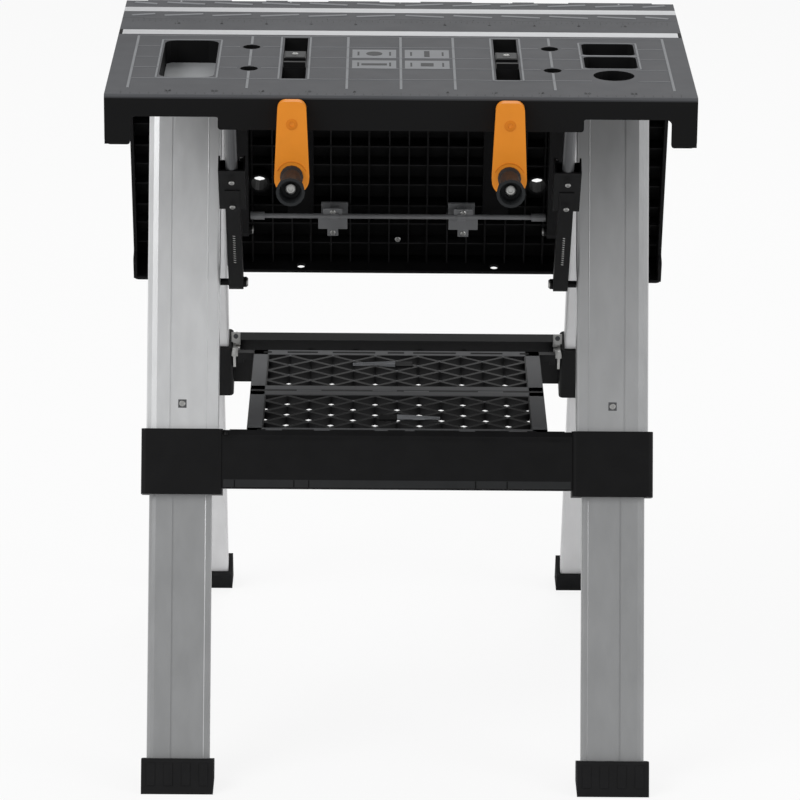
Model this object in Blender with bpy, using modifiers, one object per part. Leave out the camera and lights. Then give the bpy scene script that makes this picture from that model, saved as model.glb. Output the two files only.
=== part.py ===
"""Folding clamping table that is also a sawhorse, at rest with its front half-top up and its rear one hanging.

X runs along the beam, -Y is the side of the cranks and +Z is up, in metres. Each half-top is drawn in the frame of
its hinge: u runs outwards from the hinge axis and h upwards. Each leg is drawn in the frame of its pivot: t runs
outwards from the leg's centreline and s down along it.
"""

import math

import bmesh
import bpy
from mathutils import Matrix, Vector

# Overall
WIDTH = 0.635
TOP_Z = 0.830
GAP = 0.0003
SLIP = 0.0005

# Beam
BEAM_WIDTH = 0.090
BEAM_DEPTH = 0.050
BEAM_CORE_WIDTH = 0.070
BEAM_WALL = 0.004
BEAM_BAYS = 5
FINGER_STEPS = (0.0236, 0.0835, 0.1306, 0.1558, 0.1955, 0.293)
FINGER_REACH = 0.002
HINGE_DROP = 0.018
KNUCKLE_RADIUS = 0.006
HINGE_PIN_RADIUS = 0.0025
BEAM_STRIP_WIDTH = 0.0207
STRIP_THICKNESS = 0.0015

# Half-tops
PANEL_DEPTH = 0.349
SKIN = 0.004
RIB_DEPTH = 0.022
RIB_THICKNESS = 0.0022
RIB_COLUMNS = 9
RIB_ROWS = 4
RIB_START = 0.008
APRON = 0.004
APRON_DEPTH = 0.038
APRON_DEPTH_AT_LEGS = 0.024
APRON_DEPTH_AT_CORNERS = 0.055
LEG_CUTOUT_INNER = 0.196
LEG_CUTOUT_OUTER = 0.290
CORNER_DROP_LENGTH = 0.030
TOP_EDGE_RADIUS = 0.004
PANEL_CORNER_RADIUS = 0.006
PANEL_STRIP_WIDTH = 0.0208
PANEL_STRIP_U = 0.065
PANEL_STRIP_END = 0.004

# Features of a half-top, across X and outwards from the hinge
CLAMP_X = 0.1166
SLOT_WIDTH = 0.026
SLOT_INNER_U = 0.090
SLOT_OUTER_U = 0.2745
SLOT_WALL = 0.0026
DOG_X = 0.166
DOG_U = (0.133, 0.231)
DOG_RADIUS = 0.010
DOG_BOSS = 0.003
TRAY_INNER_X = 0.203
TRAY_OUTER_X = 0.263
TRAY_INNER_U = 0.105
TRAY_OUTER_U = 0.271
TRAY_DEPTH = 0.026
TRAY_CORNER = 0.012
TUB_WALL = 0.0025
RECESS_INNER_X = 0.202
RECESS_OUTER_X = 0.260
RECESS_LENGTH = 0.052
RECESS_U = (0.108, 0.168)
RECESS_DEPTH = 0.018
CUP_X = 0.232
CUP_U = 0.252
CUP_RADIUS = 0.0225
CUP_DEPTH = 0.026

# Clamping cranks
SPINDLE_DROP = 0.010
SPINDLE_RADIUS = 0.005
SPINDLE_INNER_U = 0.072
BEARING_LENGTH = 0.008
BEARING_WIDTH = 0.018
CARRIAGE_LENGTH = 0.063
CARRIAGE_U = 0.1945
CARRIAGE_RISE = 0.003
CARRIAGE_FLANGE = 0.006
LIP_HEIGHT = 0.012
LIP_THICKNESS = 0.005
ARM_TOP_DROP = 0.003
ARM_LENGTH = 0.102
ARM_TOP_WIDTH = 0.030
ARM_END_WIDTH = 0.039
ARM_THICKNESS = 0.0115
ARM_OFFSET = 0.0025
GRIP_LENGTH = 0.062
GRIP_NECK_RADIUS = 0.0105
GRIP_END_RADIUS = 0.0155
GRIP_SHELL = 0.003
STUD_RADIUS = 0.004

# Legs
LEG_SLOPE = 0.4047
LEG_PIVOT_Y = 0.0202
LEG_PIVOT_Z = 0.752
LEG_INNER_X = 0.205
UPPER_LEG_WIDTH = 0.083
UPPER_LEG_THICKNESS = 0.028
LOWER_LEG_INNER_X = 0.212
LOWER_LEG_WIDTH = 0.072
LOWER_LEG_THICKNESS = 0.022
LEG_WALL = 0.0025
LEG_OUTER_CORNER = 0.012
LEG_INNER_CORNER = 0.003
LOWER_LEG_CORNER = 0.008
LEG_GROOVE_X = 0.029
LEG_GROOVE_WIDTH = 0.002
LEG_GROOVE_DEPTH = 0.0008
UPPER_LEG_END = 0.470
LOWER_LEG_START = 0.410
LOWER_LEG_END = 0.800
LEG_SOLID_END = 0.030
LEG_BOLT_RADIUS = 0.004
LEG_SCREW_S = 0.034
LEG_SCREW_RECESS = 0.009

# Feet
FOOT_WIDTH = 0.082
FOOT_INNER_X = 0.207
FOOT_OUTER_T = 0.0255
FOOT_INNER_T = 0.0185
FOOT_TOP_S = 0.781

# Crossbars
COLLAR_TOP_S = 0.4046
COLLAR_LENGTH = 0.075
COLLAR_INNER_X = 0.200
COLLAR_OUTER_X = 0.293
COLLAR_HALF = 0.019
BAR_TOP_S = 0.4056
BAR_LENGTH = 0.067
BAR_INNER_T = 0.0005
BAR_OUTER_T = 0.017
BAR_WALL = 0.0035
BAR_EDGE = 0.003

# Shelf
SHELF_Z = 0.368
SHELF_THICKNESS = 0.009
SHELF_HALF_WIDTH = 0.174
SHELF_DEPTH = 0.156
SHELF_FRAME = 0.019
LATTICE_WIDTH = 0.0517
LATTICE_DEPTH = 0.0385
LATTICE_BAR = 0.005
SHELF_PIVOT_T = 0.010
SHELF_PIVOT_RADIUS = 0.003
EAR_OUTER_X = 0.1935
EAR_THICKNESS = 0.0065
EAR_RADIUS = 0.006
SHELF_ARM = 0.012
SEAM_PIN_RADIUS = 0.002
SEAM_KNUCKLE_RADIUS = 0.0042
SEAM_KNUCKLES_REAR = ((-0.150, -0.120), (-0.041, -0.012), (0.120, 0.150))
SEAM_KNUCKLES_FRONT = ((-0.119, -0.0895), (0.002, 0.031), (0.0895, 0.119))
SHELF_BRACKET_THICKNESS = 0.003
SHELF_BRACKET_LENGTH = 0.028

# Brackets under the beam
BRACKET_THICKNESS = 0.0025
BRACKET_HALF = 0.0335
BRACKET_ROUND = 0.0133
BOLT_HEAD_RADIUS = 0.006
BOLT_HEAD = 0.0025
BOLT_REACH = 0.012

# Struts
STRUT_X = 0.1865
STRUT_OPEN_U = 0.265
STRUT_FOLDED_U = 0.045
STRUT_DROP = 0.022
STRUT_FOOT_Y = 0.108
STRUT_FOOT_Z = 0.535
TUBE_RADIUS = 0.00675
TUBE_LENGTH = 0.120
TUBE_SLOT = 0.0046
TUBE_SLOT_DEPTH = 0.011
STRUT_PIN_RADIUS = 0.0025
CHANNEL_WIDTH = 0.0167
CHANNEL_HALF = 0.0085
CHANNEL_BORE_END = 0.045
CHANNEL_SLOT = 0.006
CHANNEL_SLOT_LENGTH = 0.062
HOUSING_WIDTH = 0.030
HOUSING_LENGTH = 0.072
HOUSING_TOP = 0.226
HOUSING_ABOVE = 0.0075
HOUSING_BELOW = 0.0135
HOUSING_WALL = 0.002
RAIL_THICKNESS = 0.0025
RAIL_DEPTH = 0.008
RAIL_LIP = 0.0018
RAIL_START_U = 0.036
RAIL_END_U = 0.280
SHOE_LENGTH = 0.024

# Rods under the half-tops
ROD_RADIUS = 0.003
ROD_HALF_LENGTH = 0.160
SLEEVE_RADIUS = 0.005
SLEEVE_END = 0.1765
SADDLE_X = 0.076
SADDLE_WIDTH = 0.032
SADDLE_DEPTH = 0.018
SADDLE_THICKNESS = 0.0025
SADDLE_LUG = 0.010

# Values that follow
HALF_WIDTH = WIDTH / 2
HINGE_Y = BEAM_WIDTH / 2
HINGE_Z = TOP_Z - HINGE_DROP
BEAM_BOTTOM = TOP_Z - BEAM_DEPTH
SKIN_H = HINGE_DROP - SKIN
RIB_H = HINGE_DROP - RIB_DEPTH
LEG_ANGLE = math.atan(LEG_SLOPE)
LEG_OUTER_X = LEG_INNER_X + UPPER_LEG_WIDTH
LEG_HALF = UPPER_LEG_THICKNESS / 2
SHELF_AXIS_Z = SHELF_Z - SHELF_THICKNESS
FLAT = math.radians(0.3)
FRONT = -1
REAR = 1


def to_world(side, t, s):
    """(y, z) of a point of a leg's frame."""
    y = side * (LEG_PIVOT_Y + s * math.sin(LEG_ANGLE) + t * math.cos(LEG_ANGLE))
    return y, LEG_PIVOT_Z - s * math.cos(LEG_ANGLE) + t * math.sin(LEG_ANGLE)


def leg_s_at(t, z):
    """Distance down the leg of the point at offset t and height z."""
    return (LEG_PIVOT_Z + t * math.sin(LEG_ANGLE) - z) / math.cos(LEG_ANGLE)


def rest_fold():
    """Angle by which the hanging half-top is turned down, so that its leg cutout just clears the leg's outer face."""
    edge_u = PANEL_DEPTH
    edge_h = HINGE_DROP - APRON_DEPTH_AT_LEGS
    reach = math.hypot(edge_u, edge_h)
    across = (HINGE_Y - LEG_PIVOT_Y) * math.cos(LEG_ANGLE) + (HINGE_Z - LEG_PIVOT_Z) * math.sin(LEG_ANGLE)
    turn = math.asin((LEG_HALF + SLIP - across) / reach)
    return math.pi / 2 - LEG_ANGLE - turn + math.atan2(edge_h, edge_u)


SHELF_PIVOT_S = leg_s_at(-SHELF_PIVOT_T, SHELF_AXIS_Z)
SHELF_PIVOT_Y = to_world(REAR, -SHELF_PIVOT_T, SHELF_PIVOT_S)[0]
FOOT_REACH = to_world(REAR, FOOT_OUTER_T, leg_s_at(FOOT_OUTER_T, 0))[0]
GRIP_REACH = HINGE_Y + PANEL_DEPTH + ARM_OFFSET + ARM_THICKNESS + GAP + GRIP_LENGTH
ORIGIN_SHIFT = (GRIP_REACH - FOOT_REACH) / 2


def start():
    for obj in list(bpy.data.objects):
        bpy.data.objects.remove(obj, do_unlink=True)
    made = bpy.data.collections.new("clamping_table")
    bpy.context.scene.collection.children.link(made)
    return made


PARTS = start()


def material(name, colour, roughness, metallic=0.0):
    made = bpy.data.materials.new(name)
    made.use_nodes = True
    shader = made.node_tree.nodes["Principled BSDF"]
    shader.inputs["Base Color"].default_value = (*colour, 1.0)
    shader.inputs["Roughness"].default_value = roughness
    shader.inputs["Metallic"].default_value = metallic
    return made


def empty(name, location, parent=None, turn=0.0):
    made = bpy.data.objects.new(name, None)
    PARTS.objects.link(made)
    made.parent = parent
    made.location = location
    made.rotation_euler = (turn, 0.0, 0.0)
    return made


def from_bmesh(shape):
    bmesh.ops.recalc_face_normals(shape, faces=shape.faces)
    mesh = bpy.data.meshes.new("shape")
    shape.to_mesh(mesh)
    shape.free()
    made = bpy.data.objects.new("shape", mesh)
    PARTS.objects.link(made)
    return made


def add_box(shape, x, y, z):
    centre = Vector((sum(x) / 2, sum(y) / 2, sum(z) / 2))
    size = Vector((abs(x[1] - x[0]), abs(y[1] - y[0]), abs(z[1] - z[0]), 1))
    bmesh.ops.create_cube(shape, size=1, matrix=Matrix.Translation(centre) @ Matrix.Diagonal(size))


def box(x, y, z):
    shape = bmesh.new()
    add_box(shape, x, y, z)
    return from_bmesh(shape)


def boxes(ranges):
    """One object of several boxes that don't touch each other."""
    shape = bmesh.new()
    for x, y, z in ranges:
        add_box(shape, x, y, z)
    return from_bmesh(shape)


def cylinder(start_point, end_point, radius, sides=16, end_radius=None):
    start_point = Vector(start_point)
    way = Vector(end_point) - start_point
    matrix = Matrix.Translation(start_point + way / 2) @ way.to_track_quat("Z", "Y").to_matrix().to_4x4()
    shape = bmesh.new()
    bmesh.ops.create_cone(
        shape,
        cap_ends=True,
        segments=sides,
        radius1=radius,
        radius2=radius if end_radius is None else end_radius,
        depth=way.length,
        matrix=matrix,
    )
    return from_bmesh(shape)


def along_x(x, y, z, radius, sides=16):
    return cylinder((x[0], y, z), (x[1], y, z), radius, sides)


def plate(outline, axis, low, high):
    """A flat outline given its thickness along an axis: (x, y) along Z, (y, z) along X and (x, z) along Y."""
    frame = {
        "Z": Matrix(((1, 0, 0), (0, 1, 0), (0, 0, 1))),
        "X": Matrix(((0, 0, 1), (1, 0, 0), (0, 1, 0))),
        "Y": Matrix(((1, 0, 0), (0, 0, -1), (0, 1, 0))),
    }[axis]
    curve = bpy.data.curves.new("outline", "CURVE")
    curve.dimensions = "2D"
    curve.fill_mode = "BOTH"
    curve.extrude = (high - low) / 2
    spline = curve.splines.new("POLY")
    spline.points.add(len(outline) - 1)
    for point, (a, b) in zip(spline.points, outline):
        point.co = (a, b, 0, 1)
    spline.use_cyclic_u = True
    drawn = bpy.data.objects.new("outline", curve)
    PARTS.objects.link(drawn)
    made = frozen(drawn)
    middle = {"Z": (0, 0, 1), "X": (1, 0, 0), "Y": (0, 1, 0)}[axis]
    made.data.transform(Matrix.Translation(Vector(middle) * (low + high) / 2) @ frame.to_4x4())
    return welded(made)


def frozen(obj):
    """The object's evaluated shape as a mesh object of its own, in place of it."""
    bpy.context.view_layer.update()
    graph = bpy.context.evaluated_depsgraph_get()
    mesh = bpy.data.meshes.new_from_object(obj.evaluated_get(graph))
    made = bpy.data.objects.new("shape", mesh)
    PARTS.objects.link(made)
    bpy.data.objects.remove(obj, do_unlink=True)
    return made


def welded(obj):
    shape = bmesh.new()
    shape.from_mesh(obj.data)
    bmesh.ops.remove_doubles(shape, verts=shape.verts, dist=1e-6)
    bmesh.ops.recalc_face_normals(shape, faces=shape.faces)
    shape.to_mesh(obj.data)
    shape.free()
    return obj


def combined(base, others, operation):
    for other in others:
        modifier = base.modifiers.new("Boolean", "BOOLEAN")
        modifier.operation = operation
        modifier.solver = "EXACT"
        modifier.object = other
    made = frozen(base)
    for other in others:
        bpy.data.objects.remove(other, do_unlink=True)
    shape = bmesh.new()
    shape.from_mesh(made.data)
    bmesh.ops.remove_doubles(shape, verts=shape.verts, dist=1e-6)
    bmesh.ops.dissolve_limit(shape, angle_limit=FLAT, verts=shape.verts, edges=shape.edges)
    shape.to_mesh(made.data)
    shape.free()
    return made


def joined(base, *others):
    return combined(base, others, "UNION")


def cut(base, *others):
    return combined(base, others, "DIFFERENCE")


def rounded(corners, steps=3):
    """Outline through (a, b, radius) corners, each rounded by its own radius."""
    outline = []
    for index, (a, b, radius) in enumerate(corners):
        here = Vector((a, b))
        before = Vector(corners[index - 1][:2]) - here
        after = Vector(corners[(index + 1) % len(corners)][:2]) - here
        if radius == 0:
            outline.append((a, b))
            continue
        opening = before.angle(after)
        length = radius / math.tan(opening / 2)
        middle = here + (before.normalized() + after.normalized()).normalized() * radius / math.sin(opening / 2)
        first = here + before.normalized() * length - middle
        last = here + after.normalized() * length - middle
        turn = first.angle_signed(last)
        for step in range(steps + 1):
            turned = first.copy()
            turned.rotate(Matrix.Rotation(-turn * step / steps, 2))
            outline.append(tuple(middle + turned))
    return outline


def rectangle(x, y, radius, steps=3):
    corners = ((x[0], y[0]), (x[1], y[0]), (x[1], y[1]), (x[0], y[1]))
    return rounded([(a, b, radius) for a, b in corners], steps)


def turned(profile, sides=16):
    """A solid turned about Y from (radius, y) points that run from the axis back to it."""
    mesh = bpy.data.meshes.new("profile")
    shape = bmesh.new()
    points = [shape.verts.new((radius, y, 0)) for radius, y in profile]
    for first, second in zip(points, points[1:]):
        shape.edges.new((first, second))
    shape.to_mesh(mesh)
    shape.free()
    drawn = bpy.data.objects.new("profile", mesh)
    PARTS.objects.link(drawn)
    screw = drawn.modifiers.new("Screw", "SCREW")
    screw.axis = "Y"
    screw.steps = sides
    screw.render_steps = sides
    screw.use_merge_vertices = True
    screw.merge_threshold = 0.00001
    return welded(frozen(drawn))


def moved(obj, matrix):
    obj.data.transform(matrix)
    return obj


def mirrored_x(obj):
    obj.data.transform(Matrix.Diagonal((-1, 1, 1, 1)))
    return welded(obj)


def span(side, low, high):
    return tuple(sorted((side * low, side * high)))


def keep(obj, name, look, parent, location=(0, 0, 0), turn=0.0):
    obj.name = name
    obj.data.name = name
    obj.data.materials.clear()
    obj.data.materials.append(look)
    obj.parent = parent
    obj.location = location
    obj.rotation_euler = (turn, 0.0, 0.0)
    obj.data.shade_smooth()
    obj.data.set_sharp_from_angle(angle=math.radians(35))
    return obj


def finger_ranges(for_panel):
    """The X ranges of the panels' fingers or of the beam's, with their gaps taken off."""
    marks = [-HALF_WIDTH, *[-step for step in reversed(FINGER_STEPS)], *FINGER_STEPS, HALF_WIDTH]
    ranges = []
    for index, (low, high) in enumerate(zip(marks, marks[1:])):
        if (index % 2 == 0) == for_panel:
            low = low if low == -HALF_WIDTH else low + GAP / 2
            high = high if high == HALF_WIDTH else high - GAP / 2
            ranges.append((low, high))
    return ranges


# Materials
TOP_GREY = material("top_grey", (0.075, 0.078, 0.082), 0.6)
BLACK = material("black_plastic", (0.012, 0.012, 0.013), 0.5)
ORANGE = material("orange_plastic", (0.86, 0.29, 0.03), 0.42)
ALUMINIUM = material("aluminium", (0.60, 0.61, 0.62), 0.35, 1.0)
STEEL = material("steel", (0.55, 0.55, 0.56), 0.3, 1.0)
DARK_STEEL = material("dark_steel", (0.14, 0.14, 0.15), 0.4, 0.8)
RUBBER = material("rubber", (0.015, 0.015, 0.016), 0.8)
SHELF_BLACK = material("shelf_black", (0.03, 0.03, 0.032), 0.55)

ROOT = empty("table", (0, ORIGIN_SHIFT, 0))


def make_beam():
    edge = HINGE_Y - FINGER_REACH - GAP / 2
    beam = box((-HALF_WIDTH, HALF_WIDTH), (-edge, edge), (TOP_Z - BEAM_WALL, TOP_Z))
    core = BEAM_CORE_WIDTH / 2
    pieces = [box((-HALF_WIDTH, HALF_WIDTH), (-core, core), (BEAM_BOTTOM, TOP_Z - BEAM_WALL / 2))]
    for side in (FRONT, REAR):
        for low, high in finger_ranges(False):
            pieces.append(plate(beam_lug(side), "X", low, high))
    beam = joined(beam, *pieces)
    bay = (WIDTH - BEAM_WALL) / BEAM_BAYS
    hollow = core - BEAM_WALL
    bays = []
    for index in range(BEAM_BAYS):
        low = -HALF_WIDTH + BEAM_WALL + index * bay
        bays.append(((low, low + bay - BEAM_WALL), (-hollow, hollow), (BEAM_BOTTOM - GAP, TOP_Z - 2 * BEAM_WALL)))
    groove = BEAM_STRIP_WIDTH / 2 + GAP
    cutters = [boxes(bays)]
    cutters.append(box((-WIDTH, WIDTH), (-groove, groove), (TOP_Z - STRIP_THICKNESS - GAP, TOP_Z + BEAM_WALL)))
    for side in (FRONT, REAR):
        reach = HALF_WIDTH + GAP
        cutters.append(along_x((-reach, reach), side * HINGE_Y, HINGE_Z, HINGE_PIN_RADIUS + GAP, 12))
    beam = cut(beam, *cutters)
    keep(beam, "beam", TOP_GREY, ROOT)
    strip = BEAM_STRIP_WIDTH / 2
    made = box((-HALF_WIDTH, HALF_WIDTH), (-strip, strip), (TOP_Z - STRIP_THICKNESS, TOP_Z))
    keep(made, "beam_strip", ALUMINIUM, ROOT)
    for side, name in ((FRONT, "front"), (REAR, "rear")):
        pin = along_x((-HALF_WIDTH + SLIP, HALF_WIDTH - SLIP), 0, 0, HINGE_PIN_RADIUS, 12)
        keep(pin, f"hinge_pin_{name}", STEEL, ROOT, (0, side * HINGE_Y, HINGE_Z))


def beam_lug(side):
    """(y, z) outline of a beam finger: square above and round about the hinge axis below."""
    inner = BEAM_CORE_WIDTH / 2 - BEAM_WALL / 2
    reach = FINGER_REACH - GAP / 2
    outline = [(inner, TOP_Z), (HINGE_Y + reach, TOP_Z)]
    first = math.acos(reach / KNUCKLE_RADIUS)
    for step in range(7):
        angle = first - (first + math.pi / 2) * step / 6
        outline.append((HINGE_Y + KNUCKLE_RADIUS * math.cos(angle), HINGE_Z + KNUCKLE_RADIUS * math.sin(angle)))
    outline.append((inner, HINGE_Z - KNUCKLE_RADIUS))
    return [(side * y, z) for y, z in outline]


def panel_lug(side):
    """(y, h) outline of a panel finger: square above and round about the hinge axis below."""
    reach = FINGER_REACH - GAP / 2
    inner = RIB_START + RIB_THICKNESS / 2
    outline = [(inner, HINGE_DROP), (-reach, HINGE_DROP)]
    first = math.pi - math.acos(reach / KNUCKLE_RADIUS)
    for step in range(7):
        angle = first + (math.pi * 3 / 2 - first) * step / 6
        outline.append((KNUCKLE_RADIUS * math.cos(angle), KNUCKLE_RADIUS * math.sin(angle)))
    outline.append((inner, -KNUCKLE_RADIUS))
    return [(side * u, h) for u, h in outline]


def tongue(half_width, length):
    """(y, z) outline that is round about the origin below and runs up to a length."""
    outline = [(half_width, length), (-half_width, length)]
    for step in range(7):
        angle = math.pi + math.pi * step / 6
        outline.append((half_width * math.cos(angle), half_width * math.sin(angle)))
    return outline


def apron_outline():
    """(x, h) outline of the outer apron."""
    deep = HINGE_DROP - APRON_DEPTH
    shallow = HINGE_DROP - APRON_DEPTH_AT_LEGS
    corner = HINGE_DROP - APRON_DEPTH_AT_CORNERS
    right = [
        (LEG_CUTOUT_INNER, deep, 0.003),
        (LEG_CUTOUT_INNER, shallow, 0.002),
        (LEG_CUTOUT_OUTER, shallow, 0.006),
        (LEG_CUTOUT_OUTER, corner, 0.003),
        (HALF_WIDTH, corner, PANEL_CORNER_RADIUS),
        (HALF_WIDTH, HINGE_DROP, 0),
    ]
    left = [(-x, h, radius) for x, h, radius in reversed(right)]
    return rounded(left + right)


def side_outline(side):
    """(y, h) outline of a side apron, tapered towards the hinge so that it turns clear of the beam."""
    deep = HINGE_DROP - APRON_DEPTH
    corner = HINGE_DROP - APRON_DEPTH_AT_CORNERS
    points = [
        (FINGER_REACH, SKIN_H, 0),
        (RIB_START + APRON, RIB_H, 0.002),
        (2 * APRON_DEPTH / 1.9, deep, 0.004),
        (PANEL_DEPTH - CORNER_DROP_LENGTH, deep, 0.004),
        (PANEL_DEPTH - CORNER_DROP_LENGTH, corner, 0.004),
        (PANEL_DEPTH - APRON / 2, corner, 0),
        (PANEL_DEPTH - APRON / 2, SKIN_H + APRON / 4, 0),
        (FINGER_REACH, SKIN_H + APRON / 4, 0),
    ]
    return [(side * u, h) for u, h in rounded(points)]


def rib_pockets(side):
    """Pockets between the ribs, open below."""
    column = (WIDTH - 2 * APRON + RIB_THICKNESS) / RIB_COLUMNS
    row = (PANEL_DEPTH - APRON - RIB_START) / RIB_ROWS
    ranges = []
    for i in range(RIB_COLUMNS):
        low = -HALF_WIDTH + APRON + i * column
        for j in range(RIB_ROWS):
            near = RIB_START + RIB_THICKNESS + j * row
            far = near + row - RIB_THICKNESS
            ranges.append(((low, low + column - RIB_THICKNESS), span(side, near, far), (RIB_H - GAP, SKIN_H)))
    return boxes(ranges)


def panel_blocks(side):
    """Walls and bosses under the skin, before their hollows are cut."""
    blocks = []
    top = SKIN_H + SKIN / 2
    wall = TUB_WALL
    tray = rectangle((-TRAY_OUTER_X - wall, -TRAY_INNER_X + wall),
                     span(side, TRAY_INNER_U - wall, TRAY_OUTER_U + wall), TRAY_CORNER + wall)
    blocks.append(plate(tray, "Z", HINGE_DROP - TRAY_DEPTH - wall, top))
    for u in RECESS_U:
        outline = rectangle((RECESS_INNER_X - wall, RECESS_OUTER_X + wall),
                            span(side, u - wall, u + RECESS_LENGTH + wall), TRAY_CORNER / 2 + wall)
        blocks.append(plate(outline, "Z", HINGE_DROP - RECESS_DEPTH - wall, top))
    blocks.append(cylinder((CUP_X, side * CUP_U, HINGE_DROP - CUP_DEPTH - wall), (CUP_X, side * CUP_U, top),
                           CUP_RADIUS + wall, 16))
    for x in (-CLAMP_X, CLAMP_X):
        half = SLOT_WIDTH / 2 + SLOT_WALL
        blocks.append(box((x - half, x + half), span(side, SLOT_INNER_U - SLOT_WALL, SLOT_OUTER_U + SLOT_WALL),
                          (RIB_H, top)))
        half = BEARING_WIDTH / 2
        blocks.append(box((x - half, x + half), span(side, SPINDLE_INNER_U, SPINDLE_INNER_U + BEARING_LENGTH),
                          (-SPINDLE_DROP - half, top)))
    for x in (-DOG_X, DOG_X):
        for u in DOG_U:
            blocks.append(cylinder((x, side * u, RIB_H), (x, side * u, top), DOG_RADIUS + DOG_BOSS, 12))
    for x in (-STRUT_X, STRUT_X):
        for way in (-1, 1):
            inner = shoe_half_width() + GAP
            rail_x = span(way, inner, inner + RAIL_THICKNESS)
            rail_u = span(side, RAIL_START_U, RAIL_END_U)
            rail_x = (x + rail_x[0], x + rail_x[1])
            blocks.append(box(rail_x, rail_u, (RIB_H - RAIL_DEPTH, SKIN_H + SKIN / 2)))
            lip_x = span(way, inner - RAIL_LIP, inner + RAIL_THICKNESS / 2)
            lip_x = (x + lip_x[0], x + lip_x[1])
            blocks.append(box(lip_x, rail_u, (RIB_H - RAIL_DEPTH, RIB_H - RAIL_DEPTH + RAIL_LIP)))
    return blocks


def panel_hollows(side):
    hollows = []
    top = HINGE_DROP + SKIN
    tray = rectangle((-TRAY_OUTER_X, -TRAY_INNER_X), span(side, TRAY_INNER_U, TRAY_OUTER_U), TRAY_CORNER)
    hollows.append(plate(tray, "Z", HINGE_DROP - TRAY_DEPTH, top))
    for u in RECESS_U:
        outline = rectangle((RECESS_INNER_X, RECESS_OUTER_X), span(side, u, u + RECESS_LENGTH), TRAY_CORNER / 2)
        hollows.append(plate(outline, "Z", HINGE_DROP - RECESS_DEPTH, top))
    hollows.append(cylinder((CUP_X, side * CUP_U, HINGE_DROP - CUP_DEPTH), (CUP_X, side * CUP_U, top),
                            CUP_RADIUS, 24))
    low = RIB_H - APRON
    for x in (-CLAMP_X, CLAMP_X):
        hollows.append(box((x - SLOT_WIDTH / 2, x + SLOT_WIDTH / 2), span(side, SLOT_INNER_U, SLOT_OUTER_U),
                           (low, top)))
        hollows.append(cylinder((x, side * SPINDLE_INNER_U / 2, -SPINDLE_DROP),
                                (x, side * (PANEL_DEPTH + APRON), -SPINDLE_DROP), SPINDLE_RADIUS + GAP, 16))
    for x in (-DOG_X, DOG_X):
        for u in DOG_U:
            hollows.append(cylinder((x, side * u, low), (x, side * u, top), DOG_RADIUS, 12))
    groove = rectangle((-HALF_WIDTH + PANEL_STRIP_END - GAP, HALF_WIDTH - PANEL_STRIP_END + GAP),
                       span(side, PANEL_STRIP_U - PANEL_STRIP_WIDTH / 2 - GAP,
                            PANEL_STRIP_U + PANEL_STRIP_WIDTH / 2 + GAP), 0)
    hollows.append(plate(groove, "Z", HINGE_DROP - STRIP_THICKNESS - GAP, top))
    round_over = [(PANEL_DEPTH + APRON, HINGE_DROP + APRON), (PANEL_DEPTH - TOP_EDGE_RADIUS, HINGE_DROP + APRON)]
    for step in range(5):
        angle = math.pi / 2 * (1 - step / 4)
        round_over.append((PANEL_DEPTH - TOP_EDGE_RADIUS * (1 - math.cos(angle)),
                           HINGE_DROP - TOP_EDGE_RADIUS * (1 - math.sin(angle))))
    round_over.append((PANEL_DEPTH + APRON, HINGE_DROP - TOP_EDGE_RADIUS))
    hollows.append(plate([(side * u, h) for u, h in round_over], "X", -WIDTH, WIDTH))
    reach = HALF_WIDTH + GAP
    hollows.append(along_x((-reach, reach), 0, 0, HINGE_PIN_RADIUS + GAP, 12))
    return hollows


def make_panel(side, name, hinge):
    near = FINGER_REACH + GAP / 2
    radius = PANEL_CORNER_RADIUS
    outline = rounded([(-HALF_WIDTH, side * near, 0), (HALF_WIDTH, side * near, 0),
                       (HALF_WIDTH, side * PANEL_DEPTH, radius), (-HALF_WIDTH, side * PANEL_DEPTH, radius)])
    panel = plate(outline, "Z", RIB_H, HINGE_DROP)
    relief = box((-WIDTH, WIDTH), span(side, 0, RIB_START), (RIB_H - GAP, SKIN_H))
    panel = cut(panel, rib_pockets(side), relief)
    pieces = [plate(apron_outline(), "Y", *span(side, PANEL_DEPTH - APRON, PANEL_DEPTH))]
    for way in (-1, 1):
        x = span(way, HALF_WIDTH - APRON, HALF_WIDTH)
        pieces.append(plate(side_outline(side), "X", *x))
    for x in finger_ranges(True):
        pieces.append(plate(panel_lug(side), "X", *x))
    panel = joined(panel, *pieces, *panel_blocks(side))
    panel = cut(panel, *panel_hollows(side))
    keep(panel, f"{name}_panel", TOP_GREY, hinge)
    half = PANEL_STRIP_WIDTH / 2
    strip = box((-HALF_WIDTH + PANEL_STRIP_END, HALF_WIDTH - PANEL_STRIP_END),
                span(side, PANEL_STRIP_U - half, PANEL_STRIP_U + half), (HINGE_DROP - STRIP_THICKNESS, HINGE_DROP))
    keep(strip, f"{name}_panel_strip", ALUMINIUM, hinge)
    rod = joined(along_x((-ROD_HALF_LENGTH, ROD_HALF_LENGTH), 0, 0, ROD_RADIUS, 12),
                 along_x((-SLEEVE_END, -ROD_HALF_LENGTH + SLIP), 0, 0, SLEEVE_RADIUS, 12),
                 along_x((ROD_HALF_LENGTH - SLIP, SLEEVE_END), 0, 0, SLEEVE_RADIUS, 12))
    keep(rod, f"{name}_rod", DARK_STEEL, hinge, (0, side * STRUT_OPEN_U, -STRUT_DROP))
    for way, label in ((-1, "left"), (1, "right")):
        keep(make_saddle(side, way), f"{name}_saddle_{label}", DARK_STEEL, hinge)


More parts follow.
